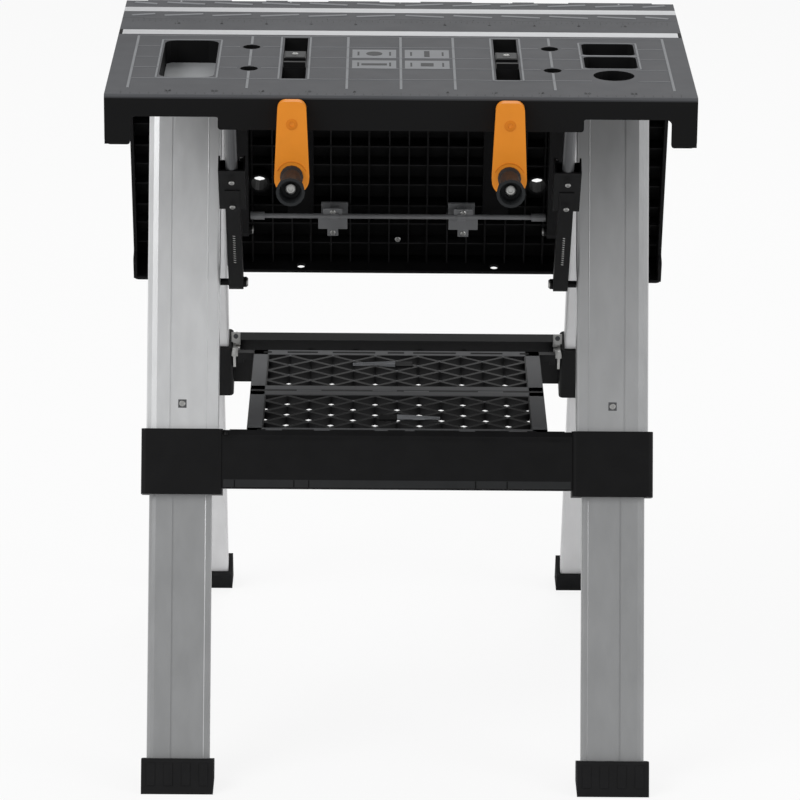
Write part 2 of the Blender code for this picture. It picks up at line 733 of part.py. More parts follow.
def make_saddle(side, way):
    x = span(way, SADDLE_X - SADDLE_WIDTH / 2, SADDLE_X + SADDLE_WIDTH / 2)
    u = STRUT_OPEN_U
    base = box(x, span(side, u - SADDLE_DEPTH / 2, u + SADDLE_DEPTH / 2),
               (RIB_H - GAP - SADDLE_THICKNESS, RIB_H - GAP))
    lug_x = span(way, SADDLE_X - SADDLE_LUG / 2, SADDLE_X + SADDLE_LUG / 2)
    lug = box(lug_x, span(side, u - SADDLE_LUG / 2, u + SADDLE_LUG / 2),
              (-STRUT_DROP, RIB_H - GAP - SADDLE_THICKNESS / 2))
    ring = along_x(lug_x, side * u, -STRUT_DROP, SADDLE_LUG / 2, 12)
    bore = along_x((x[0] - GAP, x[1] + GAP), side * u, -STRUT_DROP, ROD_RADIUS + GAP, 12)
    return cut(joined(base, lug, ring), bore)


def leg_section(inner_x, width, thickness, outer_corner):
    """(x, t) outline of a leg's section, with a groove along both faces."""
    half = thickness / 2
    outer = inner_x + width
    groove = outer - LEG_GROOVE_X
    small = LEG_INNER_CORNER
    depth = LEG_GROOVE_DEPTH
    face = [(groove + LEG_GROOVE_WIDTH, 0), (groove + LEG_GROOVE_WIDTH, depth), (groove, depth), (groove, 0)]
    points = [(outer, -half, outer_corner), (outer, half, outer_corner)]
    points += [(x, half - drop, 0) for x, drop in face]
    points += [(inner_x, half, small), (inner_x, -half, small)]
    points += [(x, -half + drop, 0) for x, drop in reversed(face)]
    return rounded(points)


def inside_section(inner_x, outer_x, thickness, outer_corner):
    """(x, t) outline of the hollow of a leg."""
    half = thickness / 2 - LEG_WALL
    corner = outer_corner - LEG_WALL
    near = inner_x + LEG_WALL
    far = outer_x - LEG_WALL
    return rounded([(near, -half, 0), (far, -half, corner), (far, half, corner), (near, half, 0)])


def make_legs(side, name, pivot):
    for way, label in ((-1, "left"), (1, "right")):
        section = leg_section(LEG_INNER_X, UPPER_LEG_WIDTH, UPPER_LEG_THICKNESS, LEG_OUTER_CORNER)
        upper = plate(section, "Z", -UPPER_LEG_END, LEG_HALF)
        wall = LEG_WALL
        hollow = plate(inside_section(LEG_INNER_X, LEG_OUTER_X, UPPER_LEG_THICKNESS, LEG_OUTER_CORNER),
                       "Z", -UPPER_LEG_END - wall, -LEG_SOLID_END - LEG_SCREW_RECESS)
        bore = along_x((LEG_INNER_X - wall, LEG_OUTER_X + wall), 0, 0, LEG_BOLT_RADIUS + GAP, 12)
        recess_x = LEG_INNER_X + UPPER_LEG_WIDTH / 2
        half = LEG_SCREW_RECESS / 2
        recess = box((recess_x - half, recess_x + half),
                     span(side, LEG_HALF - 0.002, LEG_HALF + 0.002), (-LEG_SCREW_S - half, -LEG_SCREW_S + half))
        upper = cut(upper, top_round_cutter(), hollow, bore, recess)
        lower_section = leg_section(LOWER_LEG_INNER_X, LOWER_LEG_WIDTH, LOWER_LEG_THICKNESS, LOWER_LEG_CORNER)
        lower = plate(lower_section, "Z", -LOWER_LEG_END, -LOWER_LEG_START)
        lower_outer = LOWER_LEG_INNER_X + LOWER_LEG_WIDTH
        through = plate(inside_section(LOWER_LEG_INNER_X, lower_outer, LOWER_LEG_THICKNESS, LOWER_LEG_CORNER),
                        "Z", -LOWER_LEG_END - wall, -LOWER_LEG_START + wall)
        lower = cut(lower, through)
        foot = make_foot(side)
        for obj, kind, look in ((upper, "upper_leg", ALUMINIUM), (lower, "lower_leg", ALUMINIUM),
                                (foot, "foot", RUBBER)):
            if way < 0:
                obj = mirrored_x(obj)
            keep(obj, f"{kind}_{name}_{label}", look, pivot)


def top_round_cutter():
    """What lies outside the half round about the pivot, at the top of a leg."""
    reach = LEG_HALF * 1.5
    around = []
    for step in range(13):
        angle = math.pi * step / 12
        around.append((LEG_HALF * math.cos(angle), LEG_HALF * math.sin(angle)))
    outline = [(reach, 0), (reach, reach), (-reach, reach), (-reach, 0), *reversed(around)]
    return plate(outline, "X", LEG_INNER_X - LEG_WALL, LEG_OUTER_X + LEG_WALL)


def make_foot(side):
    outer = FOOT_OUTER_T
    inner = -FOOT_INNER_T
    points = [
        (side * outer, -FOOT_TOP_S, 0.004),
        (side * outer, -leg_s_at(outer, 0), 0),
        (side * inner, -leg_s_at(inner, 0), 0),
        (side * inner, -FOOT_TOP_S, 0.004),
    ]
    foot = plate(rounded(points), "X", FOOT_INNER_X, FOOT_INNER_X + FOOT_WIDTH)
    half = LOWER_LEG_THICKNESS / 2 + GAP
    socket = box((LOWER_LEG_INNER_X - GAP, LOWER_LEG_INNER_X + LOWER_LEG_WIDTH + GAP), (-half, half),
                 (-LOWER_LEG_END - GAP, -FOOT_TOP_S + LEG_WALL))
    return cut(foot, socket)


def make_crossbar(side, name, pivot):
    collar_end = COLLAR_TOP_S + COLLAR_LENGTH
    bar = box((-COLLAR_INNER_X - SLIP, COLLAR_INNER_X + SLIP), span(side, -BAR_INNER_T, BAR_OUTER_T),
              (-BAR_TOP_S - BAR_LENGTH, -BAR_TOP_S))
    collars = []
    cutters = []
    for way in (-1, 1):
        collar = rectangle(span(way, COLLAR_INNER_X, COLLAR_OUTER_X), (-COLLAR_HALF, COLLAR_HALF), 0.005)
        collars.append(plate(collar, "Z", -collar_end, -COLLAR_TOP_S))
        half = LEG_HALF + GAP
        upper_x = span(way, LEG_INNER_X - GAP, LEG_OUTER_X + GAP)
        cutters.append(box(upper_x, (-half, half), (-UPPER_LEG_END - GAP, -COLLAR_TOP_S + SLIP)))
        half = LOWER_LEG_THICKNESS / 2 + GAP
        lower_x = span(way, LOWER_LEG_INNER_X - GAP, LOWER_LEG_INNER_X + LOWER_LEG_WIDTH + GAP)
        cutters.append(box(lower_x, (-half, half), (-collar_end - SLIP, -UPPER_LEG_END)))
    hollow_t = span(side, BAR_WALL - BAR_INNER_T, BAR_OUTER_T - BAR_WALL)
    length = (2 * COLLAR_INNER_X - BAR_WALL) / 4
    for index in range(4):
        low = -COLLAR_INNER_X + BAR_WALL + index * length
        cutters.append(box((low, low + length - BAR_WALL), hollow_t,
                           (-BAR_TOP_S - BAR_LENGTH - SLIP, -BAR_TOP_S - BAR_WALL)))
    edge = [(BAR_OUTER_T + BAR_EDGE, -BAR_TOP_S + BAR_EDGE), (BAR_OUTER_T - BAR_EDGE, -BAR_TOP_S + BAR_EDGE),
            (BAR_OUTER_T - BAR_EDGE, -BAR_TOP_S), (BAR_OUTER_T, -BAR_TOP_S - 2 * BAR_EDGE),
            (BAR_OUTER_T + BAR_EDGE, -BAR_TOP_S - 2 * BAR_EDGE)]
    cutters.append(plate([(side * t, s) for t, s in edge], "X", -COLLAR_INNER_X, COLLAR_INNER_X))
    crossbar = cut(joined(bar, *collars), *cutters)
    keep(crossbar, f"crossbar_{name}", BLACK, pivot)


def make_shelf_bracket(side, name, pivot):
    for way, label in ((-1, "left"), (1, "right")):
        face = COLLAR_INNER_X - GAP
        thickness = SHELF_BRACKET_THICKNESS
        half = SHELF_BRACKET_LENGTH / 2
        t = span(side, -COLLAR_HALF + SLIP, -BAR_INNER_T - SLIP)
        bracket = box(span(way, face - thickness, face), t, (-half, half))
        centre_t = -side * SHELF_PIVOT_T
        pin = along_x(span(way, EAR_OUTER_X - EAR_THICKNESS - SLIP * 2, face - thickness / 2), centre_t, 0,
                      SHELF_PIVOT_RADIUS, 12)
        bracket = joined(bracket, pin)
        bracket = moved(bracket, Matrix.Translation((0, -centre_t, 0)))
        keep(bracket, f"shelf_bracket_{name}_{label}", STEEL, pivot, (0, centre_t, -SHELF_PIVOT_S))


def make_shelf(side, name):
    """One half of the shelf, drawn about the seam's axis as the rear one and mirrored for the front."""
    near = GAP / 2
    shelf = box((-SHELF_HALF_WIDTH, SHELF_HALF_WIDTH), (near, SHELF_DEPTH), (0, SHELF_THICKNESS))
    own = SEAM_KNUCKLES_REAR if side == REAR else SEAM_KNUCKLES_FRONT
    others = SEAM_KNUCKLES_FRONT if side == REAR else SEAM_KNUCKLES_REAR
    shelf = cut(shelf, lattice_holes(), *[
        along_x((low - GAP, high + GAP), 0, 0, SEAM_KNUCKLE_RADIUS + GAP, 12) for low, high in others
    ])
    pieces = [along_x(knuckle, 0, 0, SEAM_KNUCKLE_RADIUS, 12) for knuckle in own]
    for low, high in own:
        pieces.append(box((low, high), (0, SHELF_FRAME / 2), (0, SHELF_THICKNESS / 2)))
    for way in (-1, 1):
        pieces.append(box(span(way, SHELF_HALF_WIDTH - SLIP, EAR_OUTER_X),
                          (SHELF_DEPTH - SHELF_ARM, SHELF_DEPTH), (0, SHELF_THICKNESS)))
        ear_x = span(way, EAR_OUTER_X - EAR_THICKNESS, EAR_OUTER_X)
        pieces.append(plate(shelf_ear(), "X", *ear_x))
    shelf = joined(shelf, *pieces)
    bores = [along_x((-SHELF_HALF_WIDTH, SHELF_HALF_WIDTH), 0, 0, SEAM_PIN_RADIUS + GAP, 12)]
    for way in (-1, 1):
        reach = EAR_OUTER_X + SLIP
        bores.append(along_x(span(way, SHELF_HALF_WIDTH + SLIP, reach), SHELF_PIVOT_Y, 0,
                             SHELF_PIVOT_RADIUS + GAP, 12))
    shelf = cut(shelf, *bores)
    if side == FRONT:
        shelf = welded(moved(shelf, Matrix.Diagonal((1, -1, 1, 1))))
    keep(shelf, f"shelf_{name}", SHELF_BLACK, ROOT, (0, 0, SHELF_AXIS_Z))


def shelf_ear():
    """(y, z) outline of an ear: round about the shelf's pivot and running back into the arm."""
    inner = SHELF_DEPTH - SHELF_ARM / 2
    outline = [(inner, EAR_RADIUS)]
    for step in range(7):
        angle = math.pi / 2 - math.pi * step / 6
        outline.append((SHELF_PIVOT_Y + EAR_RADIUS * math.cos(angle), EAR_RADIUS * math.sin(angle)))
    outline.append((inner, -EAR_RADIUS))
    return outline


def lattice_holes():
    """Diamond holes between crossing bars, inside the shelf's frame."""
    inner = SHELF_HALF_WIDTH - SHELF_FRAME
    near = SHELF_FRAME
    far = SHELF_DEPTH - SHELF_FRAME
    shape = bmesh.new()
    half_x = LATTICE_WIDTH / 2
    half_y = LATTICE_DEPTH / 2
    bar = LATTICE_BAR
    slope = math.hypot(half_x, half_y)
    hole_x = half_x - bar * slope / half_y / 2
    hole_y = half_y - bar * slope / half_x / 2
    columns = int(inner / half_x) + 2
    rows = int((far - near) / half_y) + 2
    for i in range(-columns, columns + 1):
        for j in range(rows + 1):
            if (i + j) % 2:
                continue
            x = i * half_x
            y = near + j * half_y
            low_x = max(x - hole_x, -inner)
            high_x = min(x + hole_x, inner)
            low_y = max(y - hole_y, near)
            high_y = min(y + hole_y, far)
            if high_x - low_x < hole_x * 0.6 or high_y - low_y < hole_y * 0.6:
                continue
            add_diamond(shape, (x, y), (hole_x, hole_y), (low_x, high_x), (low_y, high_y))
    return from_bmesh(shape)


def add_diamond(shape, centre, half, x_range, y_range):
    """A four-sided prism, sliced by the shelf's frame where it runs past it."""
    depth = SHELF_THICKNESS * 2
    made = bmesh.ops.create_cone(
        shape,
        cap_ends=True,
        segments=4,
        radius1=1,
        radius2=1,
        depth=depth,
        matrix=Matrix.Translation((centre[0], centre[1], SHELF_THICKNESS / 2)) @ Matrix.Diagonal((*half, 1, 1)),
    )
    verts = made["verts"]
    for point, normal in (
        ((x_range[0], 0, 0), (-1, 0, 0)),
        ((x_range[1], 0, 0), (1, 0, 0)),
        ((0, y_range[0], 0), (0, -1, 0)),
        ((0, y_range[1], 0), (0, 1, 0)),
    ):
        faces = {face for vert in verts for face in vert.link_faces}
        edges = {edge for vert in verts for edge in vert.link_edges}
        geometry = list(verts) + list(edges) + list(faces)
        result = bmesh.ops.bisect_plane(
            shape, geom=geometry, dist=1e-6, plane_co=point, plane_no=normal, clear_outer=True
        )
        kept = {item for item in result["geom"] if isinstance(item, bmesh.types.BMVert) and item.is_valid}
        cut_edges = [item for item in result["geom_cut"] if isinstance(item, bmesh.types.BMEdge)]
        if cut_edges:
            bmesh.ops.edgeloop_fill(shape, edges=cut_edges)
        kept |= {item for item in result["geom_cut"] if isinstance(item, bmesh.types.BMVert)}
        verts = list(kept)


def make_bracket(way, label):
    """Leg bracket under the beam: two cheeks joined by a plate, with the rear bolts, and the front ones stopped
    at the leg's face."""
    inner = LEG_INNER_X - GAP
    outer = LEG_OUTER_X + GAP
    thickness = BRACKET_THICKNESS
    top = BEAM_BOTTOM - GAP - LEG_PIVOT_Z
    half = BRACKET_HALF
    low = -BRACKET_ROUND
    cheek = rounded([(-half, top, 0), (half, top, 0), (half, low, BRACKET_ROUND), (-half, low, BRACKET_ROUND)])
    bracket = box(span(way, inner - thickness, outer + thickness), (-half, half), (top - thickness, top))
    pieces = [plate(cheek, "X", *span(way, inner - thickness, inner)),
              plate(cheek, "X", *span(way, outer, outer + thickness))]
    for side in (FRONT, REAR):
        y = side * LEG_PIVOT_Y
        reach = BOLT_REACH if side == REAR else 0
        pieces.append(along_x(span(way, inner - thickness / 2, inner + reach), y, 0, LEG_BOLT_RADIUS, 12))
        pieces.append(along_x(span(way, outer - reach, outer + thickness / 2), y, 0, LEG_BOLT_RADIUS, 12))
        pieces.append(along_x(span(way, inner - thickness - BOLT_HEAD, inner - thickness / 2), y, 0,
                              BOLT_HEAD_RADIUS, 12))
        pieces.append(along_x(span(way, outer + thickness / 2, outer + thickness + BOLT_HEAD), y, 0,
                              BOLT_HEAD_RADIUS, 12))
    bracket = joined(bracket, *pieces)
    keep(bracket, f"leg_bracket_{label}", DARK_STEEL, ROOT, (0, 0, LEG_PIVOT_Z))


def shoe_half_width():
    return HOUSING_WIDTH / 2 - 3 * RAIL_THICKNESS - 3 * SLIP


def strut_points(side, fold, along):
    """(y, z) of a strut's upper pivot, and the angle of the strut from vertical."""
    y = HINGE_Y + along * math.cos(fold) - STRUT_DROP * math.sin(fold)
    z = HINGE_Z - along * math.sin(fold) - STRUT_DROP * math.cos(fold)
    angle = math.atan2(STRUT_FOOT_Y - y, z - STRUT_FOOT_Z)
    return side * y, z, angle, math.hypot(STRUT_FOOT_Y - y, z - STRUT_FOOT_Z)


def make_strut(side, name, fold, along):
    y, z, angle, length = strut_points(side, fold, along)
    full = strut_points(side, 0, STRUT_OPEN_U)[3]
    for way, label in ((-1, "left"), (1, "right")):
        x = way * STRUT_X
        tag = f"{name}_{label}"
        half = shoe_half_width()
        flange_top = RIB_H - SLIP
        flange_low = RIB_H - RAIL_DEPTH + RAIL_LIP + SLIP
        shoe = box((-half, half), (-SHOE_LENGTH / 2, SHOE_LENGTH / 2),
                   (STRUT_DROP + flange_low, STRUT_DROP + flange_top))
        neck = TUBE_SLOT / 2 - SLIP
        hanger = plate(tongue(TUBE_RADIUS, STRUT_DROP + flange_top - SLIP), "X", -neck, neck)
        shoe = cut(joined(shoe, hanger), along_x((-neck * 2, neck * 2), 0, 0, STRUT_PIN_RADIUS + GAP, 12))
        keep(shoe, f"strut_shoe_{tag}", BLACK, ROOT, (x, y, z), -fold * side)

        tube = cylinder((0, 0, TUBE_RADIUS), (0, 0, -TUBE_LENGTH), TUBE_RADIUS, 16)
        slot = box((-TUBE_SLOT / 2, TUBE_SLOT / 2), (-TUBE_RADIUS * 2, TUBE_RADIUS * 2),
                   (-TUBE_SLOT_DEPTH, TUBE_RADIUS * 2))
        tube = joined(cut(tube, slot, top_of_tube()),
                      along_x((-TUBE_RADIUS * 0.8, TUBE_RADIUS * 0.8), 0, 0, STRUT_PIN_RADIUS, 12))
        keep(tube, f"strut_tube_{tag}", ALUMINIUM, ROOT, (x, y, z), side * angle)

        foot = (x, side * STRUT_FOOT_Y, STRUT_FOOT_Z)
        keep(make_channel(side, way), f"strut_channel_{tag}", BLACK, ROOT, foot, side * angle)
    return length, full


def top_of_tube():
    """What lies outside the half round about the pivot, at the top of a strut's tube."""
    reach = TUBE_RADIUS * 1.5
    around = []
    for step in range(7):
        angle = math.pi * step / 6
        around.append((TUBE_RADIUS * math.cos(angle), TUBE_RADIUS * math.sin(angle)))
    outline = [(reach, 0), (reach, reach), (-reach, reach), (-reach, 0), *reversed(around)]
    return plate(outline, "X", -reach, reach)


def make_channel(side, way):
    """Channel and housing that slide on the tube, drawn up from the lower pivot. +Y is the outer side at the rear."""
    half = CHANNEL_WIDTH / 2
    deep = CHANNEL_HALF
    top = HOUSING_TOP
    channel = plate(tongue(deep, top - HOUSING_LENGTH / 2), "X", -half, half)
    above = side * HOUSING_ABOVE
    below = -side * HOUSING_BELOW
    housing = box((-HOUSING_WIDTH / 2, HOUSING_WIDTH / 2), sorted((above, below)), (top - HOUSING_LENGTH, top))
    cavity_half = HOUSING_WIDTH / 2 - HOUSING_WALL
    floor = top - HOUSING_LENGTH / 2
    cavity = box((-cavity_half, cavity_half), sorted((above - side * HOUSING_WALL, below + side * HOUSING_WALL)),
                 (floor, top + SLIP))
    window = box((-cavity_half, cavity_half), sorted((below - side * SLIP, below + side * HOUSING_WALL * 2)),
                 (top - HOUSING_WALL * 4, top + SLIP))
    bolt = along_x(span(way, half - SLIP, LEG_INNER_X - GAP - STRUT_X), 0, 0, LEG_BOLT_RADIUS, 12)
    head = along_x(span(-way, half - SLIP, half + BOLT_HEAD * 1.5), 0, 0, BOLT_HEAD_RADIUS, 12)
    bore = cylinder((0, 0, CHANNEL_BORE_END), (0, 0, top + SLIP), TUBE_RADIUS + GAP, 16)
    slot = plate(rectangle((-CHANNEL_SLOT / 2, CHANNEL_SLOT / 2),
                           (CHANNEL_BORE_END + SLIP, CHANNEL_BORE_END + SLIP + CHANNEL_SLOT_LENGTH),
                           CHANNEL_SLOT / 2 - GAP), "Y", *sorted((-side * deep * 2, side * GAP)))
    body = joined(channel, cut(housing, cavity, window), bolt, head)
    return cut(body, bore, slot)


def make_crank(way, label, hinge):
    """A crank with its spindle, grip and carriage, on the front half-top."""
    x = way * CLAMP_X
    face = -(PANEL_DEPTH + ARM_OFFSET)
    axis = (x, 0, -SPINDLE_DROP)
    top = HINGE_DROP - ARM_TOP_DROP + SPINDLE_DROP
    low = top - ARM_LENGTH
    wide = ARM_END_WIDTH / 2
    narrow = ARM_TOP_WIDTH / 2
    arm_points = [(-narrow, top, 0.009), (narrow, top, 0.009), (wide, low, 0.016), (-wide, low, 0.016)]
    arm = plate(rounded(arm_points, 6), "Y", face - ARM_THICKNESS, face)
    stud_z = low + wide
    stud_end = face - ARM_THICKNESS - GRIP_LENGTH * 0.8
    pieces = [
        cylinder((0, face - ARM_THICKNESS / 2, stud_z), (0, stud_end, stud_z), STUD_RADIUS, 12),
        cylinder((0, face - ARM_THICKNESS / 2, 0), (0, face + ARM_OFFSET - GAP * 2, 0), SPINDLE_RADIUS * 1.6, 16),
    ]
    arm = joined(arm, *pieces)
    arm = cut(arm, cylinder((0, face - ARM_THICKNESS * 0.6, 0), (0, face + ARM_OFFSET, 0),
                            SPINDLE_RADIUS + GAP, 16))
    keep(arm, f"crank_{label}", ORANGE, hinge, axis)
    spindle = cylinder((0, face - ARM_THICKNESS * 0.6 + GAP, 0), (0, -(SPINDLE_INNER_U + SLIP * 2), 0),
                       SPINDLE_RADIUS, 16)
    keep(spindle, f"spindle_{label}", STEEL, hinge, axis)
    grip_start = face - ARM_THICKNESS - GAP
    grip_end = grip_start - GRIP_LENGTH
    inner = STUD_RADIUS + GAP
    hollow = GRIP_END_RADIUS - GRIP_SHELL
    middle = grip_start - GRIP_LENGTH * 0.45
    profile = [
        (inner, grip_start), (GRIP_NECK_RADIUS + 0.002, grip_start), (GRIP_NECK_RADIUS + 0.002, grip_start - 0.004),
        (GRIP_NECK_RADIUS, grip_start - 0.008), (GRIP_NECK_RADIUS + 0.001, middle),
        (GRIP_END_RADIUS - 0.001, grip_end + 0.010), (GRIP_END_RADIUS, grip_end), (hollow, grip_end),
        (hollow - 0.002, grip_end + GRIP_LENGTH * 0.25), (inner, grip_end + GRIP_LENGTH * 0.25),
        (inner, grip_start),
    ]
    grip = turned(profile)
    keep(grip, f"grip_{label}", BLACK, hinge, (x, 0, -SPINDLE_DROP + stud_z))
    half = SLOT_WIDTH / 2 - SLIP
    long = CARRIAGE_LENGTH / 2
    top = HINGE_DROP + SPINDLE_DROP
    low = -SPINDLE_RADIUS * 1.6
    carriage = box((-half, half), (-long, long), (low, top))
    flange = half + CARRIAGE_FLANGE
    pieces = [
        box((-flange, flange), (-long, long), (low, RIB_H + SPINDLE_DROP - SLIP)),
        box((-half + SLIP, half - SLIP), (0, long - SLIP), (top - SLIP, top + CARRIAGE_RISE)),
        box((-half + SLIP, half - SLIP), (-long + SLIP, -long + SLIP + LIP_THICKNESS),
            (top - SLIP, top + LIP_HEIGHT / 2)),
    ]
    carriage = joined(carriage, *pieces)
    carriage = cut(carriage, cylinder((0, -long * 2, 0), (0, long * 2, 0), SPINDLE_RADIUS + GAP, 16))
    carriage_start = (x, -CARRIAGE_U, -SPINDLE_DROP)
    keep(carriage, f"carriage_{label}", BLACK, hinge, carriage_start)


def main():
    make_beam()
    front_hinge = empty("front_hinge", (0, -HINGE_Y, HINGE_Z), ROOT)
    rear_hinge = empty("rear_hinge", (0, HINGE_Y, HINGE_Z), ROOT, -rest_fold())
    make_panel(FRONT, "front", front_hinge)
    make_panel(REAR, "rear", rear_hinge)
    for side, name in ((FRONT, "front"), (REAR, "rear")):
        pivot = empty(f"{name}_legs", (0, side * LEG_PIVOT_Y, LEG_PIVOT_Z), ROOT, side * LEG_ANGLE)
        make_legs(side, name, pivot)
        make_crossbar(side, name, pivot)
        make_shelf_bracket(side, name, pivot)
        make_shelf(side, name)
    seam_pin = along_x((SEAM_KNUCKLES_REAR[0][0] - SLIP, SEAM_KNUCKLES_REAR[2][1] + SLIP), 0, 0, SEAM_PIN_RADIUS, 12)
    keep(seam_pin, "shelf_seam_pin", STEEL, ROOT, (0, 0, SHELF_AXIS_Z))
    for way, label in ((-1, "left"), (1, "right")):
        make_bracket(way, label)
        make_crank(way, label, front_hinge)
    make_strut(FRONT, "front", 0.0, STRUT_OPEN_U)
    make_strut(REAR, "rear", rest_fold(), STRUT_FOLDED_U)


main()
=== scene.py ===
"""Folding clamping table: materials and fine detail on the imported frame, with the camera and the light."""

import math

import bmesh
import bpy
from mathutils import Matrix, Vector


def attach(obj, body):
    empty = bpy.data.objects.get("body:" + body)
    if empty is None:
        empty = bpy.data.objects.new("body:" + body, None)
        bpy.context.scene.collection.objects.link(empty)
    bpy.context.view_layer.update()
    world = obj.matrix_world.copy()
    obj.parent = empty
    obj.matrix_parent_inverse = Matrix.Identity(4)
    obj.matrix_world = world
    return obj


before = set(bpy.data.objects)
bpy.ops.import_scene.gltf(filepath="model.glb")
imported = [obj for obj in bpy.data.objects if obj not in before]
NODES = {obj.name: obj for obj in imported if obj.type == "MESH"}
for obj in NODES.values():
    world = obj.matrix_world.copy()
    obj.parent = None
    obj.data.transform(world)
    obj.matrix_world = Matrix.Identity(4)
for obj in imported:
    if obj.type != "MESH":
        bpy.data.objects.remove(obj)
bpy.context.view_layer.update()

# The frame's own sizes, in metres
SHIFT = 0.0591283
HALF_WIDTH = 0.3175
TOP_Z = 0.830
HINGE_Y = 0.045
HINGE_Z = 0.812
PANEL_DEPTH = 0.349
TOP_H = 0.018
SKIN_H = 0.014
RIB_H = -0.004
FOLD = math.radians(72.07673)
LEG_ANGLE = math.atan(0.4047)
LEG_Y = 0.0202
LEG_Z = 0.752
STRUT_X = 0.1865
CLAMP_X = 0.1166
SHELF_PITCH_X = 0.02585
SHELF_PITCH_Y = 0.01925


def axes(x_axis, y_axis, z_axis, origin):
    matrix = Matrix((x_axis, y_axis, z_axis)).transposed().to_4x4()
    matrix.translation = Vector(origin)
    return matrix


def panel_frame(side):
    """(x, u, h) of a half-top to the row frame, at rest."""
    fold = 0.0 if side < 0 else FOLD
    u_axis = (0, side * math.cos(fold), -math.sin(fold))
    h_axis = (0, side * math.sin(fold), math.cos(fold))
    return axes((1, 0, 0), u_axis, h_axis, (0, side * HINGE_Y + SHIFT, HINGE_Z))


def leg_frame(side):
    """(x, t, s) of a pair of legs to the row frame: t outwards and s down."""
    t_axis = (0, side * math.cos(LEG_ANGLE), math.sin(LEG_ANGLE))
    s_axis = (0, side * math.sin(LEG_ANGLE), -math.cos(LEG_ANGLE))
    return axes((1, 0, 0), t_axis, s_axis, (0, side * LEG_Y + SHIFT, LEG_Z))


def world_frame():
    return Matrix.Translation((0, SHIFT, 0))


FRONT = panel_frame(-1)
REAR = panel_frame(1)
LEGS_FRONT = leg_frame(-1)
LEGS_REAR = leg_frame(1)
WORLD = world_frame()


# Materials


def node_material(name, colour, roughness, metallic=0.0, vary=0.12, vary_scale=40.0, bump=0.1,
                  bump_scale=900.0, stretch=(1, 1, 1), turn=0.0, rough_vary=0.06, shine=0.5):
    made = bpy.data.materials.new(name)
    made.use_nodes = True
    tree = made.node_tree
    nodes = tree.nodes
    links = tree.links
    shader = nodes["Principled BSDF"]
    shader.inputs["Metallic"].default_value = metallic
    shader.inputs["Specular IOR Level"].default_value = shine
    place = nodes.new("ShaderNodeTexCoord")
    mapping = nodes.new("ShaderNodeMapping")
    mapping.inputs["Rotation"].default_value = (turn, 0, 0)
    mapping.inputs["Scale"].default_value = stretch
    links.new(place.outputs["Object"], mapping.inputs["Vector"])
    broad = nodes.new("ShaderNodeTexNoise")
    broad.inputs["Scale"].default_value = vary_scale
    broad.inputs["Detail"].default_value = 5
    links.new(mapping.outputs["Vector"], broad.inputs["Vector"])
    ramp = nodes.new("ShaderNodeValToRGB")
    ramp.color_ramp.elements[0].position = 0.3
    ramp.color_ramp.elements[1].position = 0.7
    ramp.color_ramp.elements[0].color = (*[c * (1 - vary) for c in colour], 1)
    ramp.color_ramp.elements[1].color = (*[min(1, c * (1 + vary)) for c in colour], 1)
    links.new(broad.outputs["Fac"], ramp.inputs["Fac"])
    links.new(ramp.outputs["Color"], shader.inputs["Base Color"])
    rough = nodes.new("ShaderNodeMapRange")
    rough.inputs["To Min"].default_value = max(0.05, roughness - rough_vary)
    rough.inputs["To Max"].default_value = min(1, roughness + rough_vary)
    links.new(broad.outputs["Fac"], rough.inputs["Value"])
    links.new(rough.outputs["Result"], shader.inputs["Roughness"])
    fine = nodes.new("ShaderNodeTexNoise")
    fine.inputs["Scale"].default_value = bump_scale
    fine.inputs["Detail"].default_value = 3
    links.new(mapping.outputs["Vector"], fine.inputs["Vector"])
    bumped = nodes.new("ShaderNodeBump")
    bumped.inputs["Strength"].default_value = bump
    bumped.inputs["Distance"].default_value = 0.0003
    links.new(fine.outputs["Fac"], bumped.inputs["Height"])
    links.new(bumped.outputs["Normal"], shader.inputs["Normal"])
    return made


